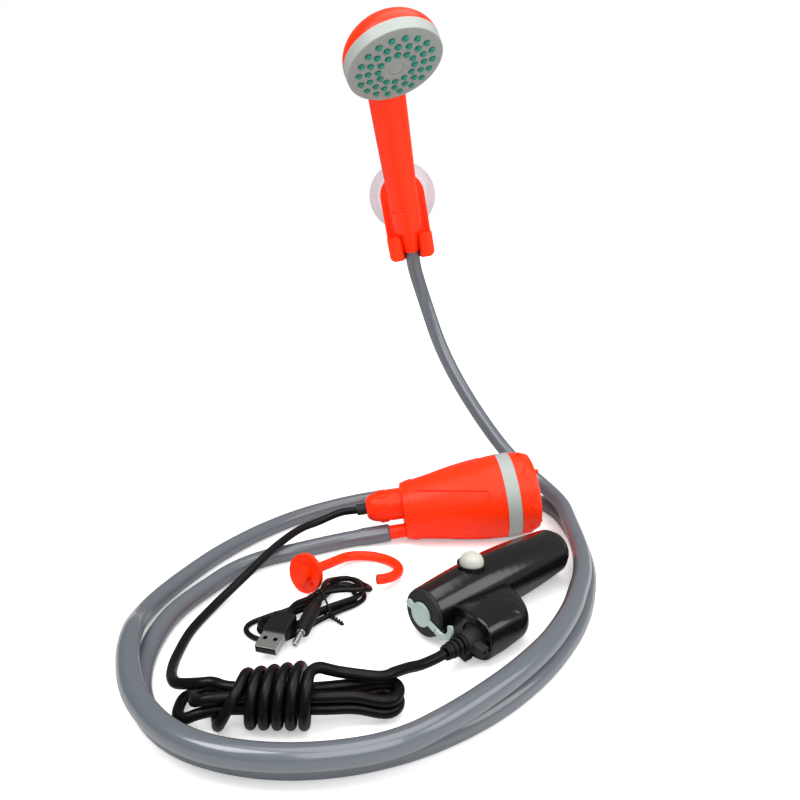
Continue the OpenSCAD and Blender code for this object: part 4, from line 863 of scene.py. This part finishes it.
# Name, place, aim, side and power of each soft light
LIGHTS = [("Key", (-0.6, -0.6, 0.9), (0.0, -0.2, -0.12), 0.6, 8.0),
          ("Top", (0.15, -0.1, 1.05), (0.0, -0.2, -0.2), 1.0, 8.0),
          ("Front", (0.25, -0.95, 0.6), (0.0, -0.1, -0.08), 0.8, 6.0),
          ("Side", (0.95, -0.45, 0.4), (0.0, -0.2, -0.15), 0.6, 3.0)]


def add_camera(scene, v):
    """Camera at its place, looking along y and dipped."""
    camera = bpy.data.objects.new("Camera", bpy.data.cameras.new("Camera"))
    camera.data.lens = v.lens
    camera.data.sensor_width = SENSOR_W
    camera.data.clip_start = NEAR
    camera.location = v.camera_at
    camera.rotation_euler = (np.pi / 2 - v.dip, 0, 0)
    scene.collection.objects.link(camera)
    scene.camera = camera


def add_floor(v):
    """Wide pale floor. The camera sees it glow, more so further out, and glossy faces see it dimmed."""
    a = round_angles(FLOOR_SIDES)
    level = np.full(FLOOR_SIDES, FLOOR * MM)
    rim = np.stack([FLOOR_R * np.cos(a), FLOOR_R * np.sin(a) + FLOOR_Y, level], axis=1)
    floor = add_piece(new_mesh("Floor", rim / MM, [list(range(FLOOR_SIDES))], 0))
    pale, tree, shader = new_material("Pale floor")
    set_values(shader, {"Roughness": 0.9, "Specular IOR Level": 0.1, "Emission Color": WHITE})
    ray = tree.nodes.new("ShaderNodeLightPath").outputs
    plain, dimmed = ((*[tone] * 3, 1) for tone in (FLOOR_WHITE, v.mirrored * FLOOR_WHITE))
    feed(tree, color_mix(tree, ray["Is Glossy Ray"], plain, dimmed), shader.inputs["Base Color"])
    away = measured(tree, "LENGTH", place_on(tree))
    glow = ramp(tree, away, GLOW_FROM, GLOW_TO, v.floor_glow, 1.0)
    feed(tree, sums(tree, "MULTIPLY", ray["Is Camera Ray"], glow), shader.inputs["Emission Strength"])
    floor.data.materials.append(pale)


def light_world(scene, v):
    """Fill from all round, stronger from the right, dimmed in glossy faces. The camera sees plain white."""
    world = bpy.data.worlds.new("Studio")
    world.use_nodes = True
    scene.world = world
    tree = world.node_tree
    back = tree.nodes["Background"]
    back.inputs["Color"].default_value = WHITE
    ray = tree.nodes.new("ShaderNodeLightPath").outputs
    side = tree.nodes.new("ShaderNodeSeparateXYZ")
    feed(tree, tree.nodes.new("ShaderNodeTexCoord").outputs["Generated"], side.inputs["Vector"])
    fill = sums(tree, "MULTIPLY_ADD", side.outputs["X"], v.fill_tilt, v.fill)
    dimmed = sums(tree, "MULTIPLY_ADD", ray["Is Glossy Ray"], v.mirrored - 1.0, 1.0)
    seen = tree.nodes.new("ShaderNodeMix")
    seen.inputs["B"].default_value = 1.0
    feed(tree, ray["Is Camera Ray"], seen.inputs["Factor"])
    feed(tree, sums(tree, "MULTIPLY", fill, dimmed), seen.inputs["A"])
    feed(tree, seen.outputs["Result"], back.inputs["Strength"])


def add_lights(scene):
    """Soft square lights, each turned towards its aim."""
    for name, place, aim, side, power in LIGHTS:
        lamp = bpy.data.lights.new(name, "AREA")
        lamp.shape = "SQUARE"
        lamp.size = side
        lamp.energy = power
        holder = bpy.data.objects.new(name, lamp)
        holder.location = place
        x, y, z = np.array(aim) - np.array(place)
        holder.rotation_euler = (np.arctan2(np.hypot(x, y), -z), 0, np.arctan2(y, x) - np.pi / 2)
        scene.collection.objects.link(holder)


# Operators, with colours and places of finishes, in metres

CABLE_FINISH = {"rough": 0.34, "spread": 0.12, "drift": 0.2, "strength": 0.2, "specular": 0.2}
MATT_FINISH = {"spread": 0.15, "specular": 0.3}
# Edge of the painted shade on the spray plate's front, measured back from the plane of its front
FACE_SHADE_FROM, FACE_SHADE_TO = 0.0007, 0.0002
CUP_TINT = (0.48, 0.36, 0.43, 1)
CUP_RIM_FROM, CUP_RIM_TO = 0.0196, 0.0210
CUP_ALPHA, CUP_RIM_ALPHA = 0.3, 0.38
MATT_BLACK, PLATING = (0.016, 0.016, 0.018), (0.72, 0.71, 0.69)
# Name, colour, roughness, metal share and pieces of each inner material
INNER_WORKS = [
    ("Motor steel", (0.6, 0.6, 0.6), 0.35, 1.0, "motor_can", "motor_shaft"),
    ("Bush brass", (0.7, 0.48, 0.2), 0.35, 1.0, "motor_bushes"),
    ("Wet black", (0.02, 0.02, 0.022), 0.45, 0.0, "pump_chamber", "intake_plate", "impeller",
     "button_switch"),
    ("Seal rubber", (0.02, 0.02, 0.02), 0.6, 0.0, "nut_washer", "face_seal", "shaft_seal", "gland_grommet",
     "cap_seals"),
    ("Screen steel", (0.5, 0.5, 0.5), 0.4, 1.0, "filter_screen"),
    ("Board green", (0.01, 0.11, 0.04), 0.45, 0.0, "circuit_board"),
    ("Cell wrap", (0.03, 0.12, 0.4), 0.3, 0.0, "battery_cell")]


class KIT_OT_stage(bpy.types.Operator):
    """Floor, soft lights and the camera"""
    bl_idname = "kit.stage"
    bl_label = "Stage"

    def execute(self, context):
        v = values().stage
        context.scene.view_settings.view_transform = "Standard"
        add_camera(context.scene, v)
        add_floor(v)
        light_world(context.scene, v)
        add_lights(context.scene)
        return {"FINISHED"}


class KIT_OT_hose(bpy.types.Operator):
    """Hose from the handset's nut to the pump's outlet"""
    bl_idname = "kit.hose"
    bl_label = "Hose"

    def execute(self, context):
        v = values()
        d = v.cords.hose_d / MM
        mesh, path, length = lay_cord("hose", hose_route(), d, step=2.0, sides=28, least=60.0,
                                      swell=hose_cuff)
        hose = add_piece(mesh)
        paint(drawn("Hose sleeve", v.finishes.hose, rough=0.3, spread=0.08, drift=0.05, depth=0.00005,
                    strength=0.12, coat=0.9), "hose")
        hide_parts("hose_riser", "hose_loops")
        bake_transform(hose)
        return {"FINISHED"}


class KIT_OT_pump_cable(bpy.types.Operator):
    """Cable from the pump's gland through its hank to the pack's plug"""
    bl_idname = "kit.pump_cable"
    bl_label = "Pump cable"

    def execute(self, context):
        v = values()
        d = v.cords.cable_d / MM
        route = cable_route(d, v.cords.wrap_turns)
        mesh, path, length = lay_cord("cable", route, d, step=1.4, sides=18, least=6.4)
        cable = add_piece(mesh, "kit")
        paint(drawn("Cable sleeve", v.finishes.black, depth=0.00005, **CABLE_FINISH), "cable")
        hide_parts("pump_cable", "cable_hank", "cable_tail")
        return {"FINISHED"}


class KIT_OT_charging_lead(bpy.types.Operator):
    """Charging lead from its flat plug through its hank to its round plug, and its tie"""
    bl_idname = "kit.charging_lead"
    bl_label = "Charging lead"

    def execute(self, context):
        v = values()
        d = v.cords.lead_d / MM
        mesh, path, length = lay_cord("lead", lead_route(d), d, step=1.0, sides=14, least=5.0)
        lead = add_piece(mesh, "lead")
        paint(drawn("Lead sleeve", v.finishes.black, depth=0.00004, **CABLE_FINISH), "lead")
        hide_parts("lead_hank")
        tie = add_piece(lay_cord("tie", tie_route(path, d), TIE_D, step=0.5, sides=8)[0], "lead")
        paint(moulded("Tie plastic", v.finishes.black, rough=0.4, strength=0.2, **MATT_FINISH), "tie")
        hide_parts("twist_tie")
        return {"FINISHED"}


class KIT_OT_orange_mouldings(bpy.types.Operator):
    """Orange mouldings: handset, bracket, nut, pump housing and hook"""
    bl_idname = "kit.orange_mouldings"
    bl_label = "Orange mouldings"

    def execute(self, context):
        skin = moulded("Orange moulding", values().finishes.orange, rough=0.3, spread=0.08, drift=0.05,
                       strength=0.2, specular=0.2)
        relief = [("tongue_beads", tongue_beads(), "kit"), ("gland_ribs", gland_ribs(), "kit"),
                  ("cap_beads", cap_beads(), "strainer")]
        for name, grids, body in relief:
            add_piece(grid_meshes(name, grids), body)
        add_grid("neck", handset_neck(), "handset")
        paint(skin, "tongue_beads", "gland_ribs", "cap_beads", "neck", "bracket", "hose_nut", "handset_shell",
              "pump_body", "strainer_cap", "gland_nut", "outlet_nipple", "hanging_hook")
        return {"FINISHED"}


class KIT_OT_spray_face(bpy.types.Operator):
    """Pale spray face with teal nozzles, painted shade on its front and centre disc, and the pump's pale band
    """
    bl_idname = "kit.spray_face"
    bl_label = "Spray face and band"

    def execute(self, context):
        f = values().finishes
        paint(moulded("Pale moulding", f.pale, rough=0.42, strength=0.2), "pump_band")
        plate = moulded("Spray plate with shaded front", f.pale, rough=0.42, strength=0.2)
        tree = plate.node_tree
        base = tree.nodes["Principled BSDF"].inputs["Base Color"]
        # Painted shade: where the plate reaches the plane of its front, its colour blends over half a
        # millimetre to the darker face colour, which stands in for the shade on this downward-facing front.
        # The wall behind keeps the pale colour.
        plane = float(HEAD_AT @ HEAD[:, 2]) * MM
        rise = measured(tree, "DOT_PRODUCT", place_on(tree), HEAD[:, 2])
        front = ramp(tree, rise, plane - FACE_SHADE_FROM, plane - FACE_SHADE_TO, kind="LINEAR")
        feed(tree, color_mix(tree, front, base.links[0].from_socket, (*f.face, 1)), base)
        paint(plate, "spray_plate")
        add_piece(grid_meshes("nozzle_tips", nozzle_tips()), "handset")
        paint(moulded("Nozzle rubber", f.teal, rough=0.3, spread=0.15), "nozzle_mat", "nozzle_tips")
        # Painted shade: the centre disc takes the same darker face colour as the plate's front
        paint(moulded("Face disc in painted shade", f.face, rough=0.4), "centre_cap")
        return {"FINISHED"}


class KIT_OT_suction_cup(bpy.types.Operator):
    """Clear suction cup"""
    bl_idname = "kit.suction_cup"
    bl_label = "Suction cup"

    def execute(self, context):
        material, tree, shader = new_material("Clear cup")
        skin = place_effect(tree, "Moulded Skin", moulded_skin, {
            "Color": CUP_TINT, "Drift": 0.03, "Roughness": 0.1, "Spread": 0.06, "Grain Scale": 900.0})
        feed(tree, skin.outputs["Color"], shader.inputs["Base Color"])
        feed(tree, skin.outputs["Roughness"], shader.inputs["Roughness"])
        reach = measured(tree, "LENGTH", mapped(tree, place_on(tree), (1, 0, 1)))
        alpha = ramp(tree, reach, CUP_RIM_FROM, CUP_RIM_TO, CUP_ALPHA, CUP_RIM_ALPHA)
        feed(tree, alpha, shader.inputs["Alpha"])
        paint(material, "suction_cup")
        return {"FINISHED"}


class KIT_OT_battery_pack(bpy.types.Operator):
    """Gloss pack, its matt ends, button, charging cover and plug"""
    bl_idname = "kit.battery_pack"
    bl_label = "Battery pack"

    def execute(self, context):
        f = values().finishes
        add_grid("pod", pod_saddle(), "kit", open_start=True)
        paint(moulded("Gloss black", f.black, rough=0.15, spread=0.06, strength=0.05, specular=0.65),
              "pack_shell", "rear_cap", "pod")
        paint(moulded("Matt black", MATT_BLACK, rough=0.5, strength=0.35, **MATT_FINISH),
              "front_cap", "power_socket", "battery_plug", "cable_sleeve", "charge_jack")
        paint(moulded("Relief rubber", f.black, rough=0.5, strength=0.3, **MATT_FINISH), "plug_relief")
        dome = add_grid("button_dome", button_dome(), "button")
        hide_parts("power_button")
        paint(moulded("Button plastic", f.button, rough=0.42, strength=0.15), "button_dome")
        paint(moulded("Cover rubber", f.cover, rough=0.45, strength=0.2), "charge_cover", "cover_strap")
        return {"FINISHED"}


class KIT_OT_lead_plugs(bpy.types.Operator):
    """Plugs of the charging lead"""
    bl_idname = "kit.lead_plugs"
    bl_label = "Lead plugs"

    def execute(self, context):
        f = values().finishes
        paint(moulded("Plug moulding", f.black, rough=0.42, strength=0.3, **MATT_FINISH),
              "usb_body", "dc_plug", "usb_tongue")
        paint(moulded("Plated steel", PLATING, rough=0.22, drift=0.05, strength=0.08, metallic=1.0),
              "usb_shell", "dc_barrel")
        return {"FINISHED"}


class KIT_OT_inner_works(bpy.types.Operator):
    """Motor, impeller, seals and the pack's inside"""
    bl_idname = "kit.inner_works"
    bl_label = "Inner works"

    def execute(self, context):
        for name, color, rough, metallic, *pieces in INNER_WORKS:
            paint(moulded(name, color, rough=rough, metallic=metallic), *pieces)
        return {"FINISHED"}


class KIT_PT_panel(bpy.types.Panel):
    bl_idname = "KIT_PT_panel"
    bl_label = "Camp Shower Kit"
    bl_space_type = "VIEW_3D"
    bl_region_type = "UI"
    bl_category = "Camp Shower"

    def draw(self, context):
        for operator in OPERATORS:
            self.layout.operator(operator.bl_idname)
        for group in (values().cords, values().finishes, values().stage):
            box = self.layout.box()
            for key in group.bl_rna.properties.keys():
                if key not in {"rna_type", "name"}:
                    box.prop(group, key)


OPERATORS = [KIT_OT_stage, KIT_OT_hose, KIT_OT_pump_cable, KIT_OT_charging_lead, KIT_OT_orange_mouldings,
             KIT_OT_spray_face, KIT_OT_suction_cup, KIT_OT_battery_pack, KIT_OT_lead_plugs,
             KIT_OT_inner_works]
CLASSES = [CordSizes, FinishesAndShade, StageValues, KitValues, *OPERATORS, KIT_PT_panel]


def register():
    for item in CLASSES:
        bpy.utils.register_class(item)
    bpy.types.Scene.camp_shower = bpy.props.PointerProperty(type=KitValues)


def unregister():
    """Takes them off again."""
    del bpy.types.Scene.camp_shower
    for item in reversed(CLASSES):
        bpy.utils.unregister_class(item)


def main():
    """Makes the whole kit."""
    register()
    bpy.ops.kit.stage()
    bpy.ops.kit.hose()
    bpy.ops.kit.pump_cable()
    bpy.ops.kit.charging_lead()
    bpy.ops.kit.orange_mouldings()
    bpy.ops.kit.spray_face()
    bpy.ops.kit.suction_cup()
    bpy.ops.kit.battery_pack()
    bpy.ops.kit.lead_plugs()
    bpy.ops.kit.inner_works()


if __name__ == "__main__":
    main()
